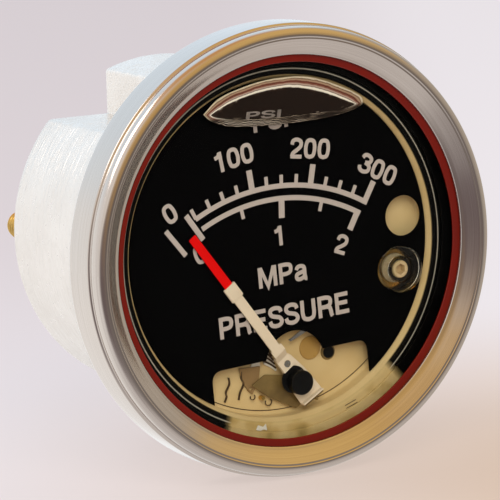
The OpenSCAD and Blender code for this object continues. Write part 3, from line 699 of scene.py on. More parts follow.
class GAUGE_OT_bezel(GaugePiece, bpy.types.Operator):
    """Spun bezel: a side band, a rolled front bead, a fine groove and a dished face down to the lens"""

    bl_idname = "gauge.bezel"
    bl_label = "Bezel"

    def execute(self, context):
        r, f = BEZEL_R, BEZEL_FRONT
        hole, rear = low_radius("bezel"), r - 4.8
        lip = GASKET_FRONT - 0.6
        t = 0.8
        face = [
            (rear, 0), (r - 0.4, 0), (r, -0.4), (r, f + 2.75), (r - 0.42, f + 2.5), (r - 0.45, f + 1.55),
            (r - 0.6, f + 0.85), (r - 1.05, f + 0.28), (r - 1.75, f + 0.02), (r - 2.1, f), (r - 2.28, f + 0.16),
            (r - 2.5, f + 0.1), (hole + 0.75, lip - 0.28), (hole + 0.1, lip - 0.02), (hole, lip + 0.25), (hole, GASKET_FRONT),
            (hole + 0.9, GASKET_FRONT), (r - 2.1, f + t + 0.1), (r - 0.45 - t, f + 1.6), (r - 0.45 - t, f + 2.6),
            (r - t, f + 3.1), (r - t, -t), (rear, -t),
        ]
        radii = [0.05, 0.3, 0.3, 0.18, 0.18, 0.5, 0.5, 0.5, 0.3, 0.12, 0.12, 0.12, 0.5, 0.2, 0.15, 0.05, 0.05, 0.3, 0.3, 0.3, 0.2, 0.1, 0.05]
        profile = rounded(face, radii, 6, closed=True)
        piece("bezel_spun", *turned(profile, around=sizes().around), finish("steel"), "housing", "bezel_steel", ["bezel"], 40)
        return {"FINISHED"}


def low_radius(node):
    """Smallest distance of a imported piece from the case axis, in millimetres."""
    co = np.array([v.co for v in frame["nodes"][node].data.vertices])
    return float(np.min(np.hypot(co[:, 0], co[:, 2])) / MM)


class GAUGE_OT_case(GaugePiece, bpy.types.Operator):
    """Die-cast case: flange, collar, and a barrel with two flat-floored notches and a rib between them"""

    bl_idname = "gauge.case"
    bl_label = "Case"

    def execute(self, context):
        n = 720
        edge = sizes().cast_edge
        barrel, floor, rib, collar, step = 28.9, 19.5, 10.1, 30.6, 3.5
        wall, back = 2.3, BARREL_END - 3.5
        outer = barrel_outline(n, barrel, floor, rib, edge)
        hollow = barrel_outline(n, barrel - wall, floor - wall, rib - wall, edge)
        ring = circle_points(n, 1.0, start=-math.pi / 2)
        flange, rear = BEZEL_R - 1.1, BEZEL_R - 4.85
        recess = 29.15
        front = PAN_LIP + 0.6
        loops = [front_loop(ring * rr, y) for rr, y in rounded(
            [(recess + 1.0, front), (flange, front), (flange, -0.8), (rear, -0.8), (rear, 0), (collar, 0), (barrel, step)],
            [0, 0.2, 0.1, 0.05, 0.15, 0.4, 0.0], 4)]
        # the barrel keeps its round rim at the collar, then drops to the notch floors
        round_edge = [(0.0, 0.0), (0.28, 0.08), (0.72, 0.34), (0.93, 0.66), (1.0, 1.0)]
        low_part = np.hypot(*outer.T) < barrel - 0.02
        for back_in, along in round_edge:
            line = np.where(low_part[:, None], ring * barrel * (1 - 0.012 * back_in) , outer)
            loops.append(front_loop(line, step + 0.35 * along))
        loops += [front_loop(outer, y) for y in (step + 0.36, step + 2, 12.0, 22.0, BARREL_END - edge - 0.6)]
        for k in range(7):
            a = math.pi / 2 * k / 6
            loops.append(front_loop(inset(outer, edge * (1 - math.cos(a))), BARREL_END - edge * (1 - math.sin(a))))
        outside = lofted(loops)
        holes = [circle_points(96, 6.02)] + [circle_points(48, 3.22, (s * 22.6, 0)) for s in (-1, 1)]
        parts = [outside, filled([inset(outer, edge)] + holes, BARREL_END), filled([hollow] + holes, back)]
        parts += [lofted([front_loop(h, BARREL_END), front_loop(h, back)]) for h in holes]
        parts.append(lofted([front_loop(hollow, back), front_loop(hollow, PAN_BACK),
                             front_loop(ring * recess, PAN_BACK), front_loop(ring * recess, DIAL_FRONT + 0.7),
                             front_loop(ring * (recess + 1.0), front)]))
        piece("case_casting", *joined(parts), finish("casting"), "housing", "case_metal", ["case"], 38)
        return {"FINISHED"}


def barrel_outline(n, radius, floor, rib, edge):
    """Cross-section of the notched barrel as radius against angle: the smaller of the circle and, in the
    upper half, the larger of the notch floor (floor over sine) and the rib's side (half width over
    cosine). Corners are rounded by blending the two curves over a short distance."""
    a = -math.pi / 2 + np.linspace(0, 2 * np.pi, n, endpoint=False)
    s, c = np.sin(a), np.abs(np.cos(a))
    to_floor = np.where(s > 1e-3, floor / np.maximum(s, 1e-3), 1e3)
    to_side = rib / np.maximum(c, 1e-3)
    k = edge

    def larger(p, q):
        h = np.clip(0.5 + (p - q) / (2 * k), 0, 1)
        return q + (p - q) * h + k * h * (1 - h)

    inner = larger(np.minimum(to_floor, 1e3), np.minimum(to_side, 1e3))
    h = np.clip(0.5 + (radius - inner) / (2 * k), 0, 1)
    r = np.where(inner > radius + k, radius, radius + (inner - radius) * h - k * h * (1 - h))
    return np.stack([r * np.cos(a), r * s], 1)


# ---- lens, seals, pan and dial ---------------------------------------------------------


class GAUGE_OT_lens(GaugePiece, bpy.types.Operator):
    """Clear lens with its adjuster boss, the red seal in front of it and the black seal behind it"""

    bl_idname = "gauge.lens"
    bl_label = "Lens and seals"

    def execute(self, context):
        n = 192
        ring = circle_points(n)
        ax = np.array(ADJUSTER)
        hole, boss = 2.2, 3.9
        disc = [
            front_loop(ax + ring * hole, LENS_FRONT + 0.12), front_loop(ax + ring * (hole + 0.12), LENS_FRONT),
            front_loop(ring * (SEAL_R - 0.25), LENS_FRONT), front_loop(ring * SEAL_R, LENS_FRONT + 0.25),
            front_loop(ring * SEAL_R, LENS_BACK - 0.25), front_loop(ring * (SEAL_R - 0.25), LENS_BACK),
            front_loop(ax + ring * (boss + 0.02), LENS_BACK), front_loop(ax + ring * hole, LENS_BACK),
        ]
        piece("lens_disc", *lofted(disc, closed=True), finish("lens"), "housing", "lens_plastic", ["lens"], 30)
        wall = rounded(
            [(hole, LENS_BACK), (boss, LENS_BACK), (boss, BOSS_END), (hole, BOSS_END)], [0, 0, 0.35, 0.25], 6, closed=True
        )
        piece("lens_boss", *turned(wall, ADJUSTER, 96), finish("boss"), "housing", "lens_plastic", sharp=30)
        inner = low_radius("lens_gasket")
        seal = rounded(
            [(inner, GASKET_FRONT), (SEAL_R, GASKET_FRONT), (SEAL_R, GASKET_BACK), (inner, GASKET_BACK)],
            [0.2, 0.05, 0.05, 0.2], 6, closed=True,
        )
        piece("lens_seal", *turned(seal, around=sizes().around), finish("red seal"), "housing", "red_rubber", ["lens_gasket"])
        inner = low_radius("rear_gasket")
        seal = rounded(
            [(inner, LENS_BACK), (SEAL_R, LENS_BACK), (SEAL_R, PAN_LIP), (inner, PAN_LIP)], [0.15, 0.05, 0.05, 0.15], 5, closed=True
        )
        piece("rear_seal", *turned(seal, around=sizes().around), finish("seal with painted light"), "housing", "black_rubber", ["rear_gasket"])
        return {"FINISHED"}


class GAUGE_OT_pan(GaugePiece, bpy.types.Operator):
    """Pressed pan: a flat floor, a wall up past the dial and a flared rim"""

    bl_idname = "gauge.pan"
    bl_label = "Pan"

    def execute(self, context):
        inside = DIAL_R + 0.1
        t = 0.6
        rim = inside + 0.9
        floor = PAN_FLOOR
        profile = rounded(
            [(inside - 1.2, floor), (inside, floor), (inside, DIAL_FRONT + 0.1), (rim, PAN_LIP), (SEAL_R, PAN_LIP),
             (SEAL_R, PAN_LIP + t), (rim + t, PAN_LIP + t), (inside + t, DIAL_FRONT + 0.5), (inside + t, PAN_BACK),
             (inside - 1.2, PAN_BACK)],
            [0, 0.7, 0.25, 0.35, 0.05, 0.05, 0.3, 0.3, 0.5, 0], 6,
        )
        around = sizes().around
        wall = turned(profile, around=around, closed=False)
        ring = circle_points(around, inside - 1.2)
        holes = [circle_points(32, 0.85, PIVOT), circle_points(32, 1.55, ADJUSTER)]
        parts = [wall, filled([ring] + holes, floor), filled([ring] + holes, PAN_BACK)]
        parts += [lofted([front_loop(h, floor), front_loop(h, PAN_BACK)]) for h in holes]
        piece("pan_pressing", *joined(parts), finish("pan"), "housing", "pan_paint", ["pan"])
        return {"FINISHED"}


def dial_outline():
    """The dial plate's edge: round the circle from the cut-out's right side over the top to its left
    side, then along the cut-out with its rounded corners and the round rise over the pointer's axis."""
    turn = math.radians(4.2)
    half, top, corner = 15.1, -18.4, 1.6
    rise, rise_r = (PIVOT[0] - 0.5, PIVOT[1] + 3), 5.8
    c, s = math.cos(turn), math.sin(turn)

    def turned_point(x, z):
        return (x * c - z * s, x * s + z * c)

    def on_edge(x):
        return turned_point(x, -math.sqrt(DIAL_R**2 - x * x))

    right, left = on_edge(half), on_edge(-half)
    a0, a1 = math.atan2(right[1], right[0]), math.atan2(left[1], left[0]) + 2 * math.pi
    a = np.linspace(a0, a1, 240)
    circle = np.stack([DIAL_R * np.cos(a), DIAL_R * np.sin(a)], 1)

    # where the round rise meets the cut-out's top edge, in the cut-out's own frame
    rx, rz = rise[0] * c + rise[1] * s, -rise[0] * s + rise[1] * c
    w = math.sqrt(rise_r**2 - (top - rz) ** 2)
    b = np.linspace(math.atan2(top - rz, -w), math.atan2(top - rz, w), 48)
    if b[0] < b[-1]:
        b = np.linspace(b[0] + 2 * math.pi, b[-1], 48)
    arc = np.stack([rx + rise_r * np.cos(b), rz + rise_r * np.sin(b)], 1)
    top_line = np.concatenate([
        rounded([(-half, -24.0), (-half, top), (rx - w - 0.5, top)], corner * 1.3, 10),
        arc,
        rounded([(rx + w + 0.5, top), (half, top), (half, -24.0)], corner * 1.3, 10),
    ])
    cut = np.stack([top_line[:, 0] * c - top_line[:, 1] * s, top_line[:, 0] * s + top_line[:, 1] * c], 1)
    return np.concatenate([circle, cut])


class GAUGE_OT_dial(GaugePiece, bpy.types.Operator):
    """Black dial plate with its two round windows and the cut-out, on three brass pillars"""

    bl_idname = "gauge.dial"
    bl_label = "Dial plate"

    def execute(self, context):
        holes = [circle_points(64, 3.45, (ADJUSTER[0] - 0.4, ADJUSTER[1] - 0.1)), circle_points(64, 3.45, (24.1, 3.0))]
        piece("dial_plate", *sheet([dial_outline()] + holes, DIAL_FRONT, DIAL_BACK, 0.06), finish("dial"), "housing", "dial_black", ["dial"], 30)
        return {"FINISHED"}


# ---- dial print --------------------------------------------------------------------------

# Letters and figures as centre-lines in units of the letter height, with how far each carries the pen
# on. Lines marked True run smoothly through their points.
LETTERS = {
    "0": (0.77, [(True, [(0.385, 0.09), (0.2, 0.17), (0.135, 0.5), (0.2, 0.83), (0.385, 0.91), (0.57, 0.83), (0.635, 0.5), (0.57, 0.17), (0.385, 0.09)])]),
    "1": (0.77, [(False, [(0.46, 0.0), (0.46, 1.0)]), (True, [(0.14, 0.74), (0.3, 0.77), (0.4, 0.86), (0.43, 0.96)])]),
    "2": (0.77, [(True, [(0.12, 0.66), (0.17, 0.84), (0.38, 0.915), (0.6, 0.82), (0.61, 0.6), (0.42, 0.41), (0.22, 0.26), (0.14, 0.08)]), (False, [(0.08, 0.085), (0.7, 0.085)])]),
    "3": (0.77, [(True, [(0.12, 0.71), (0.2, 0.87), (0.39, 0.915), (0.6, 0.82), (0.58, 0.62), (0.34, 0.53)]), (True, [(0.34, 0.53), (0.62, 0.44), (0.64, 0.2), (0.4, 0.085), (0.17, 0.15), (0.1, 0.31)])]),
    "P": (0.9, [(False, [(0.17, 0.0), (0.17, 1.0)]), (True, [(0.17, 0.91), (0.5, 0.91), (0.7, 0.85), (0.75, 0.69), (0.68, 0.52), (0.48, 0.46), (0.17, 0.46)])]),
    "R": (0.98, [(False, [(0.17, 0.0), (0.17, 1.0)]), (True, [(0.17, 0.91), (0.52, 0.91), (0.74, 0.85), (0.79, 0.7), (0.72, 0.54), (0.52, 0.48), (0.17, 0.48)]), (True, [(0.55, 0.48), (0.72, 0.42), (0.78, 0.26), (0.8, 0.1), (0.85, 0.0)])]),
    "E": (0.9, [(False, [(0.17, 0.0), (0.17, 1.0)]), (False, [(0.17, 0.91), (0.81, 0.91)]), (False, [(0.17, 0.52), (0.76, 0.52)]), (False, [(0.17, 0.09), (0.83, 0.09)])]),
    "S": (0.9, [(True, [(0.76, 0.7), (0.69, 0.86), (0.45, 0.92), (0.21, 0.86), (0.16, 0.7), (0.27, 0.57), (0.46, 0.51), (0.67, 0.44), (0.77, 0.28), (0.68, 0.13), (0.44, 0.08), (0.2, 0.15), (0.12, 0.33)])]),
    "U": (0.98, [(True, [(0.17, 1.0), (0.17, 0.7), (0.17, 0.38), (0.24, 0.16), (0.49, 0.08), (0.74, 0.16), (0.81, 0.38), (0.81, 0.7), (0.81, 1.0)])]),
    "I": (0.36, [(False, [(0.18, 0.0), (0.18, 1.0)])]),
    "M": (1.15, [(False, [(0.16, 0.0), (0.16, 1.0)]), (False, [(0.2, 0.98), (0.575, 0.04), (0.95, 0.98)]), (False, [(0.99, 0.0), (0.99, 1.0)])]),
    "a": (0.77, [(True, [(0.15, 0.53), (0.22, 0.65), (0.4, 0.69), (0.57, 0.62), (0.6, 0.48), (0.6, 0.2), (0.64, 0.06), (0.72, 0.04)]), (True, [(0.59, 0.42), (0.4, 0.38), (0.19, 0.32), (0.13, 0.19), (0.2, 0.08), (0.36, 0.07), (0.54, 0.14), (0.6, 0.26)])]),
}


def lettering(text, height, centre, turn, narrow=1.0):
    """Printed strokes of a word, centred on a place and turned clockwise: each letter's lines are scaled
    to the height, set one advance after another, and given the stroke's width. Strokes of one word lie a
    hair apart in depth, so that where they cross one is on top."""
    width = sum(LETTERS[c][0] for c in text) * height * narrow
    stroke = sizes().stroke * height
    pen, parts = -width / 2, []
    for c in text:
        advance, lines = LETTERS[c]
        for k, (flowing, pts) in enumerate(lines):
            p = np.asarray(pts, float)
            p = smooth_through(p, 6) if flowing else p
            p = p * height * (narrow, 1.0) + (pen, -height / 2)
            closed = flowing and np.allclose(p[0], p[-1])
            proud = sizes().ink_proud * (1 + 0.12 * k)
            parts.append(ribbon((p[:-1] if closed else p) + centre, stroke, DIAL_FRONT - proud, DIAL_FRONT, closed))
        pen += advance * height * narrow
    return [moved(p, turn, centre) for p in parts]


def arc_line(centre, radius, a0, a1, steps=96):
    """Points of an arc; angles are degrees clockwise from straight up."""
    a = np.radians(np.linspace(a0, a1, steps))
    return np.stack([centre[0] + radius * np.sin(a), centre[1] + radius * np.cos(a)], 1)


class GAUGE_OT_print(GaugePiece, bpy.types.Operator):
    """Screen print on the dial: two scales with their ticks and figures, the two units and the quantity"""

    bl_idname = "gauge.dial_print"
    bl_label = "Dial print"

    def execute(self, context):
        ink = sizes().ink_proud
        y0, y1 = DIAL_FRONT - ink, DIAL_FRONT
        centre = (0.1, -23.4)
        outer, inner = 33.85, 31.75

        def angle(x, z):
            return math.degrees(math.atan2(x - centre[0], z - centre[1]))

        def tick(at, r0, r1, width):
            a = math.radians(at)
            d = np.array([math.sin(a), math.cos(a)])
            return ribbon([np.array(centre) + d * r0, np.array(centre) + d * r1], width, y0 - 0.002, y1)

        zero, full = angle(-16.55, 8.6), angle(16.75, 6.4)
        scale = [ribbon(arc_line(centre, outer, zero - 0.6, full), 0.85, y0, y1)]
        scale.append(ribbon(arc_line(centre, inner, zero - 0.2, angle(16.0, 4.9)), 0.85, y0, y1))
        scale.append(ribbon([(-17.6, 7.3), (-14.5, 2.95)], 0.95, y0 - 0.004, y1))
        for k in range(1, 12):
            at = zero + (full - zero) * k / 12
            long = k % 4 == 0
            scale.append(tick(at, outer, outer + (3.6 if long else 1.85), 1.05 if long else 0.65))
        scale.append(tick(full, outer - 0.4, outer + 3.75, 1.05))
        scale.append(tick(zero - 0.4, outer, outer + 1.9, 0.65))
        half = (angle(15.6, 4.4) - zero) / 4
        for k in range(1, 4):
            scale.append(tick(zero + half * k, inner, inner - (3.3 if k == 2 else 1.9), 1.1 if k == 2 else 0.65))
        scale.append(tick(angle(14.6, 3.6), inner + 0.4, inner - 3.3, 1.1))
        scale.append(ribbon([(-21.45, 5.1), (-17.85, 0.65)], 0.85, y0, y1))
        piece("print_scales", *joined(scale), finish("ink"), "housing", "dial_black", sharp=30)

        h = sizes().cap_height
        words = lettering("PRESSURE", h * 1.04, (0.45, -11.4), -4.2, 0.94)
        words += lettering("MPa", h * 1.0, (0.3, -4.35), -4.2, 0.98)
        words += lettering("PSI", h, (-1.15, 21.75), -4.2, 0.93)
        figures = lettering("0", h * 0.98, (-20.6, 7.9), -30)
        figures += lettering("100", h * 0.98, (-8.35, 16.0), -11)
        figures += lettering("200", h * 0.98, (6.35, 16.15), 7)
        figures += lettering("300", h * 0.98, (19.35, 11.35), 28)
        figures += lettering("0", h * 0.95, (-15.2, 0.6), -20)
        figures += lettering("1", h * 0.95, (-0.1, 2.1), -4)
        figures += lettering("2", h * 0.95, (11.9, -0.6), 20)
        piece("print_words", *joined(words), finish("ink"), "housing", "dial_black", sharp=30)
        piece("print_figures", *joined(figures), finish("ink"), "housing", "dial_black", sharp=30)
        return {"FINISHED"}


# ---- pointer ---------------------------------------------------------------------------

POINTER_TURN = -36.7


def on_pointer(part):
    """From the pointer's own frame, where it points straight up from its axis, to its place at rest."""
    v, f = part
    v = np.array(v, float) + (PIVOT[0], 0, PIVOT[1])
    return moved((v, f), POINTER_TURN, PIVOT)


def bar_round(p, r, y0, y1, edge=0.08, around=48):
    """A turned pin along Y with broken edges: an open profile from the axis out, along and back."""
    prof = rounded([(0, y0), (r, y0), (r, y1), (0, y1)], [0, edge, edge, 0], 4)
    return turned(prof, p, around, closed=False)


class GAUGE_OT_pointer(GaugePiece, bpy.types.Operator):
    """Pointer: red tip in its folded collar, cream blade, hub plate with rivet and tail tab, hub cap"""

    bl_idname = "gauge.pointer"
    bl_label = "Pointer"

    def execute(self, context):
        t = 0.3
        over = DIAL_FRONT - 0.45 - t
        plate1 = high("pointer_plate", 1)
        plate0 = plate1 - t
        under = plate0 - t
        red_end, collar = 22.2, 2.8

        tip = [(-0.82, red_end - 2.3), (0.82, red_end - 2.3), (0.76, 33.2), (-0.76, 33.2)]
        red = sheet([rounded(tip, [0.05, 0.05, 0.18, 0.18], 4, closed=True)], over + 0.05, over + 0.25, 0.03)
        piece("pointer_red_tip", *on_pointer(red), finish("red"), "pointer", "red_paint", ["pointer_tip"], 30)

        # blade: its low end lies on the hub plate, rises over the dial, and narrows at two small shoulders
        zs = np.concatenate([[2.9, 3.4], np.linspace(4.6, 7.2, 14), [7.75, 7.8, 8.0, 8.1], np.linspace(9, 19.8, 12)])
        left = np.interp(zs, [2.9, 7.8, 8.0, 19.8], [-1.1, -1.1, -0.9, -0.9])
        right = np.interp(zs, [2.9, 4.7, 4.9, 7.8, 8.0, 19.8], [1.5, 1.5, 1.3, 1.3, 0.92, 0.92])
        ys = np.interp(zs, [4.9, 5.2, 6.6, 6.9], [under, under + 0.02 * (over - under), over - 0.02 * (over - under), over])
        e = 0.035
        rows = [
            np.stack([left + e, ys, zs], 1), np.stack([right - e, ys, zs], 1), np.stack([right, ys + e, zs], 1),
            np.stack([right, ys + t - e, zs], 1), np.stack([right - e, ys + t, zs], 1), np.stack([left + e, ys + t, zs], 1),
            np.stack([left, ys + t - e, zs], 1), np.stack([left, ys + e, zs], 1),
        ]
        body = np.stack(rows, 1)
        n = len(zs)
        faces = grid_faces(n, 8, False, True).tolist() + [list(range(8)), [8 * (n - 1) + k for k in range(7, -1, -1)]]
        blade = (body.reshape(-1, 3), faces)
        # collar: the blade's end folded round the red tip
        fold = rounded([(-1.25, over - 0.15), (1.25, over - 0.15), (1.25, over + t), (-1.25, over + t)], [0.2, 0.2, 0.12, 0.12], 5, closed=True)
        zc = [red_end - collar, red_end - collar + 0.08, red_end - 0.08, red_end]
        k = [0.92, 1.0, 1.0, 0.92]
        loops = [np.stack([fold[:, 0] * s, over + 0.1 + (fold[:, 1] - over - 0.1) * s, np.full(len(fold), z)], 1) for z, s in zip(zc, k)]
        m = len(fold)
        cf = grid_faces(4, m, False, True).tolist() + [list(range(m)), [3 * m + j for j in range(m - 1, -1, -1)]]
        sleeve = (np.concatenate(loops), cf)
        piece("pointer_blade_cream", *on_pointer(joined([blade, sleeve])), finish("cream"), "pointer", "pointer_steel", ["pointer_blade"], 32)

        plate = [(-1.0, 6.0), (-1.15, 3.0), (-1.75, 1.2), (-1.9, -3.7), (2.7, -4.1), (2.5, 0.6), (1.8, 4.7), (1.0, 6.0)]
        rim = rounded(plate, [0.1, 0.6, 0.9, 0.1, 0.1, 1.2, 0.6, 0.1], 5, closed=True)
        hub = sheet([rim, circle_points(32, 0.82)], plate0, plate1, 0.04)
        tab = sheet([[(-1.88, -3.42), (-1.9, -3.7), (2.6, -4.1), (2.57, -3.82)]], plate0 - 0.9, plate0 + 0.05, 0.03)
        strip = sheet([[(-1.6, -3.95), (-1.62, -4.15), (2.45, -4.52), (2.43, -4.32)]], plate0 - 0.5, plate0 + 0.05, 0.03)
        pin = bar_round((0.7, -4.6), 0.24, plate0 - 0.7, plate0 + 0.1, 0.08, 20)
        piece("pointer_tail_strip", *on_pointer(joined([strip, pin])), finish("bronze"), "pointer", "pointer_steel", sharp=32)
        piece("pointer_hub_plate", *on_pointer(joined([hub, tab])), finish("cream"), "pointer", "pointer_steel", ["pointer_plate"], 32)

        at = (0.3, 3.9)
        ring = rounded([(0.3, under - 0.02), (0.3, under - 0.1), (0.4, under - 0.12), (0.62, under - 0.1), (0.62, under)], [0, 0.03, 0.05, 0.06, 0], 4)
        rivet = turned(np.concatenate([[(0, under - 0.04)], ring, [(0.35, under)], [(0.35, plate1)], [(0, plate1)]]), at, 40, closed=False)
        piece("pointer_tube_rivet", *on_pointer(rivet), finish("bright"), "pointer", "pointer_steel", ["pointer_rivet"], 32)

        top = low("hub_cap", 1)
        cap = [(0, top + 0.02), (1.5, top), (2.1, top + 0.05), (2.1, plate0 - 0.05), (0.82, plate0)]
        prof = rounded(cap, [0, 0.6, 0.22, 0.06, 0], 6)
        prof = np.concatenate([prof, [(0.82, top + 0.5), (0, top + 0.5)]])
        # painted shadow: a black disc set off to the upper left under the cap, where the cap's shade falls on the hub
        # plate
        collar = rounded([(0, plate0 - 0.16), (2.35, plate0 - 0.16), (2.35, plate0 - 0.02), (0, plate0 - 0.02)], [0, 0.05, 0.03, 0], 3)
        off = (PIVOT[0] - 0.75, PIVOT[1] + 0.45)
        cap = joined([turned(prof, PIVOT, 72, closed=False), turned(collar, off, 64, closed=False)])
        piece("pointer_hub_cap", *cap, finish("black"), "pointer", "black_plastic", ["hub_cap"], 35)
        return {"FINISHED"}


# ---- pieces in the dial's cut-out ------------------------------------------------------------


class GAUGE_OT_contact_lever(GaugePiece, bpy.types.Operator):
    """Contact lever on the arbor: an aged copper plate, and the flat hairspring"""

    bl_idname = "gauge.contact_lever"
    bl_label = "Contact lever"

    def execute(self, context):
        y0, y1 = low("contact_lever", 1), high("contact_lever", 1)
        line = [(-5.2, -23.0), (-2.7, -21.4), (0.6, -21.8), (4.6, -22.2), (4.4, -26), (3.9, -27.4), (3.1, -27.8), (-1.9, -25.4)]
        outline = rounded(line, [0.25, 0.2, 0.3, 0.3, 0.4, 0.2, 0.15, 0.6], 4, closed=True)
        lever = sheet([outline, circle_points(28, 0.82, PIVOT)], y0, y1, 0.04)
        piece("contact_lever_plate", *lever, finish("bronze"), "pointer", "bronze", ["contact_lever"], 32)
        # flat spiral: radius grows evenly with the angle, drawn as a thin strip on edge
        a = np.linspace(0, 2 * np.pi * 2.5, 150)
        r = 0.9 + 1.28 * a / a[-1]
        coil = np.stack([PIVOT[0] + r * np.cos(a), PIVOT[1] + r * np.sin(a)], 1)
        y = low("hairspring", 1)
        piece("hairspring_coil", *ribbon(coil, 0.12, y, y + 0.3), finish("bronze"), "pointer", "bronze", ["hairspring"], 40)
        return {"FINISHED"}


class GAUGE_OT_pan_fittings(GaugePiece, bpy.types.Operator):
    """Small pieces on the pan: stop pin, moulded block, wavy leaf springs, tube rivets and the amber plug"""

    bl_idname = "gauge.pan_fittings"
    bl_label = "Pan fittings"

    def execute(self, context):
        floor = PAN_FLOOR
        piece("stop_pin_turned", *bar_round((-3.2, -25.3), 0.4, low("stop_pin", 1), floor, 0.1, 24), finish("brass"), "housing", "brass", ["stop_pin"], 40)
        block = rounded([(-5.2, -20.1), (-3.4, -17.4), (-3.1, -20.1)], [0.2, 0.2, 0.2], 4, closed=True)
        piece("anchor_block_moulded", *sheet([block], low("anchor_block", 1), floor, 0.06), finish("nylon"), "housing", "nylon", ["anchor_block"], 35)
        # the wavy leaf springs are drawn dark, in painted shadow
        lines = ([(-9.3, -21.2), (-9.2, -22.3), (-9.9, -23.6), (-9.8, -24.4), (-10.2, -25.3)], [(-6.9, -20.4), (-6.9, -21.6), (-6.5, -22.6), (-7.2, -24.0), (-7.5, -25.2)])
        leaves = [ribbon(smooth_through(p, 8), 0.14, floor - 0.5, floor) for p in lines]
        piece("leaf_springs_wavy", *joined(leaves), finish("wire in painted shadow"), "housing", "pan_paint", ["leaf_springs"], 40)
        leaf = rounded([(-7.4, -19.9), (-3.3, -19.9), (-3.6, -22.2), (-4.9, -24.6), (-5.6, -24.0), (-6.6, -22.5)], [0.2, 0.1, 0.2, 0.3, 0.4, 0.5], 4, closed=True)
        piece("hinge_leaf", *sheet([leaf, circle_points(20, 0.3, (-5.2, -23.6))], floor - 0.45, floor - 0.2, 0.03), finish("leaf"), "housing", "pan_paint", sharp=35)
        # the coil's dark strips and the two loops are painted shadow
        coil = [ribbon(smooth_through([(-2.9 + 0.1 * k, -16.6 - 0.85 * k), (-1.9 + 0.2 * k, -17.3 - 0.85 * k), (-1.0 + 0.25 * k, -18.5 - 0.7 * k)], 8), 0.3, floor - 0.5, floor - 0.1) for k in range(4)]
        loops = [ribbon(arc_line(c, r, 40, 300, 24), 0.14, floor - 0.5, floor - 0.35) for c, r in (((-4.9, -25.0), 0.45), ((-1.9, -26.2), 0.6))]
        piece("coil_and_loops", *joined(coil + loops), finish("wire in painted shadow"), "housing", "pan_paint", sharp=35)
        pale = [ribbon(smooth_through([(-2.75 + 0.1 * k, -17.0 - 0.85 * k), (-1.7 + 0.2 * k, -17.75 - 0.85 * k), (-0.9 + 0.25 * k, -18.9 - 0.7 * k)], 8), 0.34, floor - 0.4, floor - 0.1) for k in range(4)]
        piece("coil_pale_turns", *joined(pale), finish("nylon"), "housing", "nylon", sharp=35)
        # the marks on the lip and the groove round the floor are dark lines of painted shadow
        marks = [ribbon([(11.0, -27.9), (13.1, -27.1)], 0.12, PAN_LIP - 0.03, PAN_LIP), ribbon([(11.2, -28.4), (13.4, -27.6)], 0.12, PAN_LIP - 0.03, PAN_LIP)]
        groove = ribbon(arc_line((0, 0), 27.75, 128, 206, 90), 0.16, floor - 0.03, floor + 0.01)
        piece("pan_grooves", *joined(marks + [groove]), finish("wire in painted shadow"), "housing", "pan_paint", sharp=35)
        clip = rounded([(-6.0, -29.1), (-5.0, -29.5), (-4.5, -29.0), (-4.3, -30.2), (-5.0, -29.95), (-5.6, -30.1), (-6.4, -29.9)], 0.12, 3, closed=True)
        piece("pan_clip", *sheet([clip], PAN_LIP - 0.2, PAN_LIP, 0.04), finish("nylon"), "housing", "nylon", sharp=35)
        rivets, bore_shades = [], []
        for p in ((10.1, -19.1), (-8.4, -13.6)):
            prof = rounded(
                [(0.65, floor + 0.6), (0.65, floor - 0.1), (0.85, floor - 0.3), (1.25, floor - 0.26), (1.4, floor)],
                [0, 0.2, 0.2, 0.12, 0], 5)
            prof = np.concatenate([prof, [(0.9, floor), (0.9, floor + 2.0), (0.65, floor + 2.0)]])
            rivets.append(turned(prof, p, 48, closed=True))
            # painted shade: a black disc in each rivet's bore, where the open bore is in shade
            bore_shades.append(bar_round(p, 1.05, floor - 0.35, floor, 0.08, 32))
        piece("bracket_tube_rivets", *joined(rivets), finish("bronze"), "housing", "brass", ["bracket_rivets"], 35)
        piece("rivet_bore_shade", *joined(bore_shades), finish("black"), "housing", "brass", sharp=35)
        low_y = low("cover_plug", 1)
        plug = rounded([(0, low_y + 0.02), (1.75, low_y), (2.0, low_y + 0.06), (2.0, floor), (0, floor)], [0, 0.4, 0.1, 0.02, 0], 5)
        piece("cover_plug_amber", *turned(plug, (6.6, -18.0), 56, closed=False), finish("amber"), "housing", "bronze", ["cover_plug"], 35)
        pillars = [bar_round(p, 1.6, DIAL_BACK, floor, 0.1, 40) for p in ((-18, 12), (18, 14), (-20, -11))]
        piece("dial_pillars", *joined(pillars), finish("brass"), "housing", "brass", ["dial_standoffs"], 35)
        return {"FINISHED"}


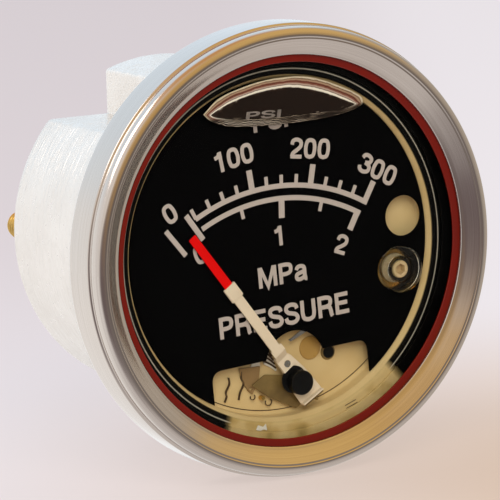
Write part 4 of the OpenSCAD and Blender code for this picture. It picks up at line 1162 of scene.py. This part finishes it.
class GAUGE_OT_limit_adjuster(GaugePiece, bpy.types.Operator):
    """Limit adjuster: hex-socket shaft, its bush, the brass arm and the bent contact wire"""

    bl_idname = "gauge.limit_adjuster"
    bl_label = "Limit adjuster"

    def execute(self, context):
        y0, y1 = low("adjuster_shaft", 1), high("adjuster_shaft", 1)
        n = 72
        ring = circle_points(n)
        a = np.arctan2(ring[:, 1], ring[:, 0])
        # hexagon as radius against angle: the flat's distance over the cosine of the angle from its middle
        hexagon = 0.8 / np.cos((a + np.pi / 6) % (np.pi / 3) - np.pi / 6)
        hole = ring * hexagon[:, None]
        at = np.array(ADJUSTER)
        loops = [front_loop(at + hole * 0.02, y0 + 1.5), front_loop(at + hole, y0 + 1.3), front_loop(at + hole, y0 + 0.06),
                 front_loop(at + hole * 1.06, y0), front_loop(at + ring * 1.36, y0), front_loop(at + ring * 1.5, y0 + 0.14),
                 front_loop(at + ring * 1.5, y1 - 0.15), front_loop(at + ring * 1.35, y1), front_loop(at + ring * 0.02, y1)]
        piece("adjuster_shaft_turned", *lofted(loops), finish("shaft"), "adjuster", "steel", ["adjuster_shaft"], 35)
        b0, b1 = low("adjuster_bush", 1), high("adjuster_bush", 1)
        bush = rounded([(1.52, b0), (2.5, b0), (2.5, b1), (1.52, b1)], 0.08, 3, closed=True)
        piece("adjuster_bush_moulded", *turned(bush, ADJUSTER, 56), finish("nylon"), "adjuster", "nylon", ["adjuster_bush"], 35)
        o0, o1 = low("adjuster_oring", 1), high("adjuster_oring", 1)
        b = circle_points(20)
        prof = np.stack([1.865 + b[:, 0] * 0.315, (o0 + o1) / 2 + b[:, 1] * (o1 - o0) / 2], 1)
        piece("adjuster_seal_ring", *turned(prof, ADJUSTER, 56), finish("rubber"), "housing", "black_rubber", ["adjuster_oring"], 60)

        a0, a1 = low("limit_arm", 1), high("limit_arm", 1)
        x, z = ADJUSTER
        end = [(7, -12.6), (6.4, -14.4)]
        t = np.radians(np.linspace(-97, 112, 40))
        eye = np.stack([x + 3.7 * np.cos(t), z + 3.7 * np.sin(t)], 1)
        arm = np.concatenate([eye, [(x - 1.5, z + 2.4)], [end[0]], [end[1]], [(x - 0.6, z - 3.4)]])
        piece("limit_arm_brass", *sheet([arm, circle_points(48, 2.52, ADJUSTER)], a0, a1, 0.03), finish("brass"), "adjuster", "brass", ["limit_arm"], 35)
        hook = np.array([1.9, -15.9])
        wire = [
            sheet([rounded([end[0], end[1], hook + (0.25, -0.35), hook + (-0.2, 0), hook + (0.2, 0.15), (6.5, -13.15)], 0.12, 3, closed=True)], a0, a1, 0.03),
            sheet([[(6.5, -13.15), hook + (2.5, 1.1), hook + (2.3, 1.35), (6.8, -12.8)]], a0, a1, 0.03),
        ]
        piece("limit_contact_wire", *joined(wire), finish("bright"), "adjuster", "steel", ["limit_contact"], 35)
        return {"FINISHED"}


# ---- back of the case ------------------------------------------------------------------


def hexagon_radius(n, flats, edge=0.15):
    """Radius of a hexagon against angle: half its width across flats over the cosine of the angle from
    the middle of a flat, held back a little at the corners."""
    a = np.linspace(0, 2 * np.pi, n, endpoint=False)
    off = (a + np.pi / 6) % (np.pi / 3) - np.pi / 6
    return np.minimum(flats / 2 / np.cos(off), flats / math.sqrt(3) - edge)


def helix_rows(n, crest, depth, pitch, y0, y1, centre=(0.0, 0.0), taper=0.0, per_turn=12):
    """Rows of a screw thread. The radius is the crest, less the taper times the way along, less the depth
    times a rounded triangle wave of the way along in pitches minus the angle in turns; the wave fades
    over the first and last half turn."""
    y = np.linspace(y0, y1, max(int((y1 - y0) / pitch * per_turn), 8))[:, None]
    a = np.linspace(0, 2 * np.pi, n, endpoint=False)
    phase = (y / pitch - a / (2 * np.pi)) % 1
    wave = np.clip(1.25 * np.abs(2 * phase - 1) - 0.125, 0, 1)
    fade = np.clip(np.minimum(y - y0, y1 - y) / (0.5 * pitch), 0, 1)
    r = crest - taper * (y - y0) - depth * (1 - fade * (1 - wave))
    return np.stack([centre[0] + r * np.cos(a), np.broadcast_to(y, r.shape), centre[1] + r * np.sin(a)], -1)


def level(n, r, y, centre=(0.0, 0.0)):
    """One loop of n points at depth y, with a radius that may vary round it."""
    a = np.linspace(0, 2 * np.pi, n, endpoint=False)
    r = np.broadcast_to(r, n)
    return np.stack([centre[0] + r * np.cos(a), np.full(n, float(y)), centre[1] + r * np.sin(a)], 1)


def hexagon_rows(n, flats, y0, y1, centre=(0.0, 0.0), front=True, back=True):
    """A hexagonal bar whose corners are cut by a 30 degree cone at its ends: the radius is the smaller
    of the hexagon and the cone."""
    h = hexagon_radius(n, flats)
    out = []
    for k in np.linspace(0, 1, 5):
        cone = flats / 2 - 0.1 + k * (flats / math.sqrt(3) - flats / 2 + 0.1)
        if front:
            out.append((y0 + k * (cone_depth := 0.58 * (flats / math.sqrt(3) - flats / 2)), np.minimum(h, cone)))
    if not front:
        out.append((y0, h))
    tail = []
    for k in np.linspace(0, 1, 5):
        cone = flats / 2 - 0.1 + k * (flats / math.sqrt(3) - flats / 2 + 0.1)
        if back:
            tail.append((y1 - k * 0.58 * (flats / math.sqrt(3) - flats / 2), np.minimum(h, cone)))
    if not back:
        tail.append((y1, h))
    return [level(n, r, y, centre) for y, r in out + tail[::-1]]


class GAUGE_OT_bubble(GaugePiece, bpy.types.Operator):
    """Air bubble at the top behind the lens, with a painted reflection of the unit above it, squashed"""

    bl_idname = "gauge.bubble"
    bl_label = "Air bubble"

    def execute(self, context):
        outer = [(-14.45, 23.88), (-11.36, 26.32), (-6.59, 27.79), (-2.77, 28.5), (1.04, 28.7), (3.91, 28.6), (6.77, 28.09), (10.58, 26.75),
                 (14.2, 25.1), (15.8, 24.0), (15.9, 23.0), (15.0, 22.4), (12.35, 21.7), (8.46, 21.2), (2.69, 20.95), (-1.5, 20.95), (-6.83, 21.17), (-10.6, 21.65), (-13.1, 22.7)]
        inner = [(-13.2, 23.7), (-11.41, 24.6), (-8.55, 25.6), (-4.73, 26.5), (-0.91, 26.95), (1.95, 26.9), (5.76, 26.25), (9.57, 25.0),
                 (13.0, 23.6), (14.2, 23.0), (11.4, 22.35), (7.54, 22.3), (2.73, 22.25), (-0.14, 22.2), (-3.95, 22.25), (-8.66, 22.6), (-12.2, 23.2)]
        n, mid, wide, tall = 320, np.array([0.7, 23.9]), 15.0, 3.4
        a = np.linspace(-np.pi, np.pi, n, endpoint=False)

        def about(points):
            """Outline as points at even angles about the middle, in a frame that makes it nearly round."""
            p = smooth_through(list(points) + [points[0]], 8)[:-1]
            d = (p - mid) / (wide, tall)
            turn, r = np.arctan2(d[:, 1], d[:, 0]), np.hypot(d[:, 0], d[:, 1])
            order = np.argsort(turn)
            r = np.interp(a, turn[order], r[order], period=2 * np.pi)
            return mid + np.stack([r * np.cos(a) * wide, r * np.sin(a) * tall], 1)

        o, i = about(outer), about(inner)
        k = np.linspace(0, 1, 15)
        rows = [front_loop(o + (i - o) * t, LENS_BACK + 0.06 + 0.22 * (1 - math.sin(math.pi * min(t, 0.5)))) for t in k]
        across = list(k * 0.93)
        for t in (0.75, 0.5, 0.25, 0.004):
            rows.append(front_loop(mid + (i - mid) * t, LENS_BACK + 0.06))
            across.append(1.0)
        rows = [front_loop(mid + (o - mid) * 0.004, LENS_BACK + 0.34), front_loop(o, LENS_BACK + 0.34)] + rows
        across = [1.0, 0.0] + across
        verts, faces = lofted(rows)
        faces = faces.tolist() + [list(range(n - 1, -1, -1)), [n * (len(rows) - 1) + j for j in range(n)]]
        uvs = np.stack([np.tile((a / (2 * np.pi)) % 1, len(rows)), np.repeat(across, n)], 1)
        piece("air_bubble", verts, faces, finish("bubble"), "housing", "lens_plastic", sharp=60, uvs=uvs)
        # painted reflection: a squashed copy of the print, set just behind the lens
        image = []
        for v, f in lettering("PSI", sizes().cap_height, (-3.25, 23.3), 4.0, 0.93):
            v = np.array(v, float)
            v[:, 2] = 22.9 + (v[:, 2] - 23.3) * 0.36
            v[:, 1] += LENS_BACK + 0.05 - DIAL_FRONT
            image.append((v, f))
        piece("bubble_print_reflection", *joined(image), finish("ghost"), "housing", "lens_plastic", sharp=30)
        return {"FINISHED"}


class GAUGE_OT_connection(GaugePiece, bpy.types.Operator):
    """Pressure connection: shank, hexagon, taper pipe thread and its passage, on a sealing washer"""

    bl_idname = "gauge.connection"
    bl_label = "Pressure connection"

    def execute(self, context):
        n = 144
        y_in, y_out = low("connection", 1), high("connection", 1)
        hex0 = high("connection_seal", 1)
        hex1 = hex0 + 4.5
        rows = [level(n, 2.5, y_in + 0.2), level(n, 2.7, y_in), level(n, 5.8, y_in), level(n, 6.0, y_in + 0.2), level(n, 6.0, hex0)]
        rows += hexagon_rows(n, 17.5, hex0, hex1)
        rows += [level(n, 6.3, hex1), level(n, 6.0, hex1 + 0.25), level(n, 6.0, hex1 + 0.5)]
        rows += list(helix_rows(n, 6.85, 0.8, sizes().thread_pitch, hex1 + 0.6, y_out - 0.5, taper=1 / 32))
        rows += [level(n, 5.55, y_out - 0.1), level(n, 5.35, y_out), level(n, 3.0, y_out), level(n, 2.5, y_out - 0.5)]
        rows += [level(n, 2.5, y_out - 8), level(n, 2.5, y_in + 8)]
        piece("connection_turned", *lofted(rows, closed=True), finish("brass"), "housing", "brass", ["connection"], 30)
        s0 = low("connection_seal", 1)
        seal = rounded([(6.02, s0), (8.45, s0), (8.45, hex0), (6.02, hex0)], [0.02, 0.25, 0.25, 0.02], 5, closed=True)
        piece("connection_washer", *turned(seal, around=96), finish("rubber"), "housing", "black_rubber", ["connection_seal"], 35)
        return {"FINISHED"}


class GAUGE_OT_terminals(GaugePiece, bpy.types.Operator):
    """Two threaded studs with their insulators, washers and hexagon nuts"""

    bl_idname = "gauge.terminals"
    bl_label = "Terminals"

    def execute(self, context):
        n = 72
        x = 22.6
        s0, s1 = low("terminal_studs", 1), high("terminal_studs", 1)
        face = BARREL_END
        flange = high("outer_insulators", 1)
        washer = high("terminal_washers", 1)
        nut = high("terminal_nuts", 1)
        studs, inner, outer, washers, nuts = [], [], [], [], []
        for c in ((-x, 0.0), (x, 0.0)):
            rows = [level(n, 0.02, s0, c)] + hexagon_rows(n, 6.4, s0, s0 + 2.0, c, back=False)
            rows += [level(n, 2.4, s0 + 2.0, c), level(n, 2.4, flange, c)]
            rows += list(helix_rows(n, 2.4, 0.38, sizes().stud_pitch, flange + 0.1, s1 - 0.5, c, per_turn=10))
            rows += [level(n, 1.9, s1 - 0.1, c), level(n, 1.75, s1, c), level(n, 0.02, s1, c)]
            studs.append(lofted(rows))
            prof = rounded([(2.42, face - 5.2), (3.95, face - 5.2), (3.95, face - 3.5), (2.42, face - 3.5)], [0, 0.15, 0.15, 0], 4, closed=True)
            inner.append(turned(prof, c, 56))
            prof = rounded([(2.42, face - 3.5), (3.2, face - 3.5), (3.2, face), (3.95, face), (3.95, flange), (2.42, flange)],
                           [0, 0.1, 0, 0.05, 0.3, 0.1], 5, closed=True)
            outer.append(turned(prof, c, 64))
            prof = rounded([(2.42, flange), (3.85, flange), (3.85, washer), (2.42, washer)], [0.05, 0.12, 0.12, 0.05], 4, closed=True)
            washers.append(turned(prof, c, 64))
            rows = [level(n, 2.42, washer + 0.25, c), level(n, 2.7, washer, c)] + hexagon_rows(n, 7.0, washer, nut, c)
            rows += [level(n, 2.7, nut, c), level(n, 2.42, nut - 0.25, c)]
            nuts.append(lofted(rows, closed=True))
        piece("terminal_studs_threaded", *joined(studs), finish("brass"), "housing", "brass", ["terminal_studs"], 32)
        piece("insulators_inner", *joined(inner), finish("nylon"), "housing", "nylon", ["inner_insulators"], 35)
        piece("insulators_outer", *joined(outer), finish("nylon"), "housing", "nylon", ["outer_insulators"], 35)
        piece("terminal_washers_plain", *joined(washers), finish("bright"), "housing", "steel", ["terminal_washers"], 35)
        piece("terminal_nuts_hexagon", *joined(nuts), finish("brass"), "housing", "brass", ["terminal_nuts"], 30)
        return {"FINISHED"}


class GAUGE_OT_movement(GaugePiece, bpy.types.Operator):
    """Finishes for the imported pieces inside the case: movement, plunger, spring and pressure element"""

    bl_idname = "gauge.movement"
    bl_label = "Movement inside"

    def execute(self, context):
        wear = {
            "arbor": "bright", "arbor_crank": "brass", "movement_bracket": "brass", "rocker": "bronze", "rocker_pin": "bright",
            "plunger_rod": "bright", "piston_plate": "bright", "range_spring": "bright", "diaphragm": "diaphragm",
            "pressure_housing": "brass", "housing_cover": "bright", "cover_screws": "bright", "lead_strip": "brass",
        }
        for node, key in wear.items():
            obj = frame["nodes"][node]
            obj.data.materials.clear()
            obj.data.materials.append(finish(key))
        return {"FINISHED"}


# ---- stage ---------------------------------------------------------------------------------


class GAUGE_OT_stage(GaugePiece, bpy.types.Operator):
    """Pale floor, soft light and the camera"""

    bl_idname = "gauge.stage"
    bl_label = "Stage"

    def execute(self, context):
        scene = context.scene
        scene.view_settings.view_transform = "Standard"
        back = Vector((-0.4824, -0.8610, 0.1614))
        right = Vector((0.8695, -0.4930, -0.0312))
        up = Vector((0.1064, 0.1253, 0.9864))
        cam = bpy.data.objects.new("camera", bpy.data.cameras.new("camera"))
        scene.collection.objects.link(cam)
        cam.data.sensor_width = 36
        cam.data.lens = 331.1
        turn = Matrix((right, up, back)).transposed()
        cam.matrix_world = Matrix.Translation((-0.3736, -0.6598, 0.1234)) @ turn.to_4x4()
        cam.data.clip_start, cam.data.clip_end = 0.01, 50
        scene.camera = cam

        bpy.ops.mesh.primitive_plane_add(size=6, location=(0, 0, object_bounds()[0].z - 0.0001))
        floor = context.object
        floor.name = "floor"
        floor.data.materials.append(paper())
        floor.visible_glossy = False
        floor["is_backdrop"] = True
        scene.world = studio()

        def lamp(name, where, look_at, size, power, colour):
            data = bpy.data.lights.new(name, "AREA")
            data.size = size
            data.energy = power
            data.color = linear(colour)
            obj = bpy.data.objects.new(name, data)
            scene.collection.objects.link(obj)
            obj.location = where
            obj.rotation_mode = "QUATERNION"
            obj.rotation_quaternion = (Vector(look_at) - Vector(where)).to_track_quat("-Z", "Y")
            return obj

        lamp("window", (-0.55, 0.25, 0.55), (0, 0, 0), 0.45, 2.0, "#FFF6F0")
        lamp("room", (-0.35, -0.8, 0.55), (0, 0, 0), 0.6, 6.0, "#FFFAF6").visible_glossy = False
        return {"FINISHED"}


def paper():
    """Pale paper with the room's light painted on: lavender on the left, near white on the right, and one soft warm
    patch beside the gauge, a painted shadow. The tint is a mix by place on the floor, in metres."""
    m = Finish("Paper, pale, painted room light and shadow")
    x, y, z = m.node("ShaderNodeSeparateXYZ", Vector=m.place()).outputs
    side = m.maths("SUBTRACT", m.maths("MULTIPLY", x, 0.87), m.maths("MULTIPLY", y, 0.49))
    depth = m.maths("ADD", m.maths("MULTIPLY", x, 0.49), m.maths("MULTIPLY", y, 0.87))
    right = m.node("ShaderNodeMapRange", {"interpolation_type": "SMOOTHSTEP"}, Value=side, From_Min=-0.02, From_Max=0.06)
    far = m.node("ShaderNodeMapRange", {"interpolation_type": "SMOOTHSTEP"}, Value=depth, From_Min=0.0, From_Max=0.3)
    plain_tint = m.mixed(right.outputs[0], m.mixed(far.outputs[0], linear("#ECE7EC"), linear("#E2DADE")), linear("#F4EFF3"))
    # painted shadow: a soft warm patch to the right of the gauge and in front of it
    dx, dy = m.maths("SUBTRACT", x, 0.09), m.maths("ADD", y, 0.075)
    off = m.maths("SQRT", m.maths("ADD", m.maths("MULTIPLY", dx, dx), m.maths("MULTIPLY", dy, dy)))
    warm = m.node("ShaderNodeMapRange", {"interpolation_type": "SMOOTHSTEP"}, Value=off, From_Min=0.03, From_Max=0.2, To_Min=1.0, To_Max=0.0)
    tint = m.mixed(warm.outputs[0], plain_tint, linear("#DDC1A7"))
    dull = m.node("ShaderNodeBsdfDiffuse", Color=tint)
    glow = m.node("ShaderNodeEmission", Color=tint, Strength=1.0)
    rays = m.node("ShaderNodeLightPath").outputs
    seen = m.maths("MULTIPLY", m.maths("MAXIMUM", rays["Is Camera Ray"], m.maths("MAXIMUM", rays["Is Glossy Ray"], rays["Is Transmission Ray"])), 0.72)
    mix = m.node("ShaderNodeMixShader", i0=seen, i1=dull.outputs[0], i2=glow.outputs[0])
    m.tree.links.new(mix.outputs[0], m.out.inputs["Surface"])
    return m.material


ROOM = (
    # direction from the gauge, what a mirror shows there, and how tightly
    ((0.48, -0.31, -0.82), (0.82, 0.77, 0.74), 6),
    ((0.0, 0.0, -1.0), (0.80, 0.78, 0.78), 6),
    ((-0.48, -0.85, -0.16), (0.17, 0.13, 0.14), 14),
    ((0.48, -0.85, -0.16), (0.16, 0.14, 0.14), 8),
    ((-0.19, -0.83, 0.51), (0.80, 0.50, 0.16), 14),
    ((0.48, -0.58, 0.65), (0.98, 0.66, 0.24), 14),
    ((0.985, -0.03, -0.16), (0.60, 0.54, 0.46), 8),
    ((-0.48, 0.86, -0.16), (1.2, 1.2, 1.2), 8),
    ((-0.95, 0.2, 0.1), (1.0, 1.0, 1.02), 6),
    ((-0.16, 0.86, 0.48), (0.95, 1.15, 1.35), 10),
    ((-0.30, 0.08, 0.94), (0.83, 0.42, 0.12), 14),
    ((-0.80, -0.3, 0.5), (1.1, 1.05, 1.0), 8),
)


def studio():
    """The room: an even pale light for dull surfaces, and for shiny ones a view of the room, each part
    of it weighted by exp(tightness * (cosine of the angle from it - 1)) and the sum divided by the
    weights' sum, with the directions shaken a little so that the parts have uneven edges."""
    world = bpy.data.worlds.new("studio")
    world.use_nodes = True
    t = world.node_tree
    t.nodes.clear()

    def node(kind, settings=None, **inputs):
        n = t.nodes.new(kind)
        for k, v in (settings or {}).items():
            setattr(n, k, v)
        for k, v in inputs.items():
            key = int(k[1:]) if k[0] == "i" and k[1:].isdigit() else k
            if isinstance(v, bpy.types.NodeSocket):
                t.links.new(v, n.inputs[key])
            else:
                n.inputs[key].default_value = v
        return n

    way = node("ShaderNodeTexCoord").outputs["Generated"]
    cloud = node("ShaderNodeTexNoise", Vector=way, Scale=3.0, Detail=3.0).outputs["Color"]
    shaken = node("ShaderNodeVectorMath", {"operation": "MULTIPLY_ADD"}, i0=cloud, i1=(0.5, 0.5, 0.5), i2=(-0.25, -0.25, -0.25))
    way = node("ShaderNodeVectorMath", {"operation": "ADD"}, i0=way, i1=shaken.outputs[0])
    way = node("ShaderNodeVectorMath", {"operation": "NORMALIZE"}, i0=way.outputs[0]).outputs[0]
    total, weights = None, None
    for at, colour, tight in ROOM:
        at = Vector(at).normalized()
        dot = node("ShaderNodeVectorMath", {"operation": "DOT_PRODUCT"}, i0=way, i1=tuple(at)).outputs["Value"]
        near = node("ShaderNodeMath", {"operation": "MULTIPLY_ADD"}, i0=dot, i1=float(tight), i2=-float(tight)).outputs[0]
        w = node("ShaderNodeMath", {"operation": "EXPONENT"}, i0=near).outputs[0]
        c = node("ShaderNodeVectorMath", {"operation": "SCALE"}, i0=colour, Scale=w).outputs[0]
        total = c if total is None else node("ShaderNodeVectorMath", {"operation": "ADD"}, i0=total, i1=c).outputs[0]
        weights = w if weights is None else node("ShaderNodeMath", {"operation": "ADD"}, i0=weights, i1=w).outputs[0]
    share = node("ShaderNodeMath", {"operation": "DIVIDE"}, i0=1.0, i1=weights).outputs[0]
    seen = node("ShaderNodeVectorMath", {"operation": "SCALE"}, i0=total, Scale=share).outputs[0]
    rays = node("ShaderNodeLightPath").outputs
    mirror = node("ShaderNodeMix", {"data_type": "RGBA"}, i0=rays["Is Glossy Ray"], i6=(*linear("#D2CFD1"), 1), i7=seen)
    paint = node("ShaderNodeMix", {"data_type": "RGBA"}, i0=rays["Is Camera Ray"], i6=mirror.outputs[2], i7=(*linear("#ECE7EC"), 1))
    light = node("ShaderNodeBackground", Color=paint.outputs[2], Strength=0.8)
    strength = node("ShaderNodeMix", {"data_type": "FLOAT"}, i0=rays["Is Glossy Ray"], i2=0.78, i3=1.0)
    t.links.new(strength.outputs[0], light.inputs["Strength"])
    t.links.new(light.outputs[0], node("ShaderNodeOutputWorld").inputs["Surface"])
    return world


class GAUGE_PT_panel(bpy.types.Panel):
    """The gauge's pieces in the sidebar"""

    bl_idname = "GAUGE_PT_panel"
    bl_label = "Pressure gauge"
    bl_space_type = "VIEW_3D"
    bl_region_type = "UI"
    bl_category = "Gauge"

    def draw(self, context):
        col = self.layout.column()
        for cls in OPERATORS:
            col.operator(cls.bl_idname)
        for group in (context.scene.gauge_look, context.scene.gauge_sizes):
            for name in group.__annotations__:
                self.layout.prop(group, name)


OPERATORS = (
    GAUGE_OT_bezel, GAUGE_OT_case, GAUGE_OT_lens, GAUGE_OT_pan, GAUGE_OT_dial, GAUGE_OT_print, GAUGE_OT_pointer,
    GAUGE_OT_contact_lever, GAUGE_OT_pan_fittings, GAUGE_OT_limit_adjuster, GAUGE_OT_bubble, GAUGE_OT_connection, GAUGE_OT_terminals,
    GAUGE_OT_movement, GAUGE_OT_stage,
)
CLASSES = (GaugeLook, GaugeSizes, *OPERATORS, GAUGE_PT_panel)


def register():
    for cls in CLASSES:
        bpy.utils.register_class(cls)
    bpy.types.Scene.gauge_look = PointerProperty(type=GaugeLook)
    bpy.types.Scene.gauge_sizes = PointerProperty(type=GaugeSizes)


def unregister():
    del bpy.types.Scene.gauge_sizes
    del bpy.types.Scene.gauge_look
    for cls in reversed(CLASSES):
        bpy.utils.unregister_class(cls)


def main():
    register()
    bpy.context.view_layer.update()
    for cls in OPERATORS:
        group, name = cls.bl_idname.split(".")
        getattr(getattr(bpy.ops, group), name)()


if __name__ == "__main__":
    main()
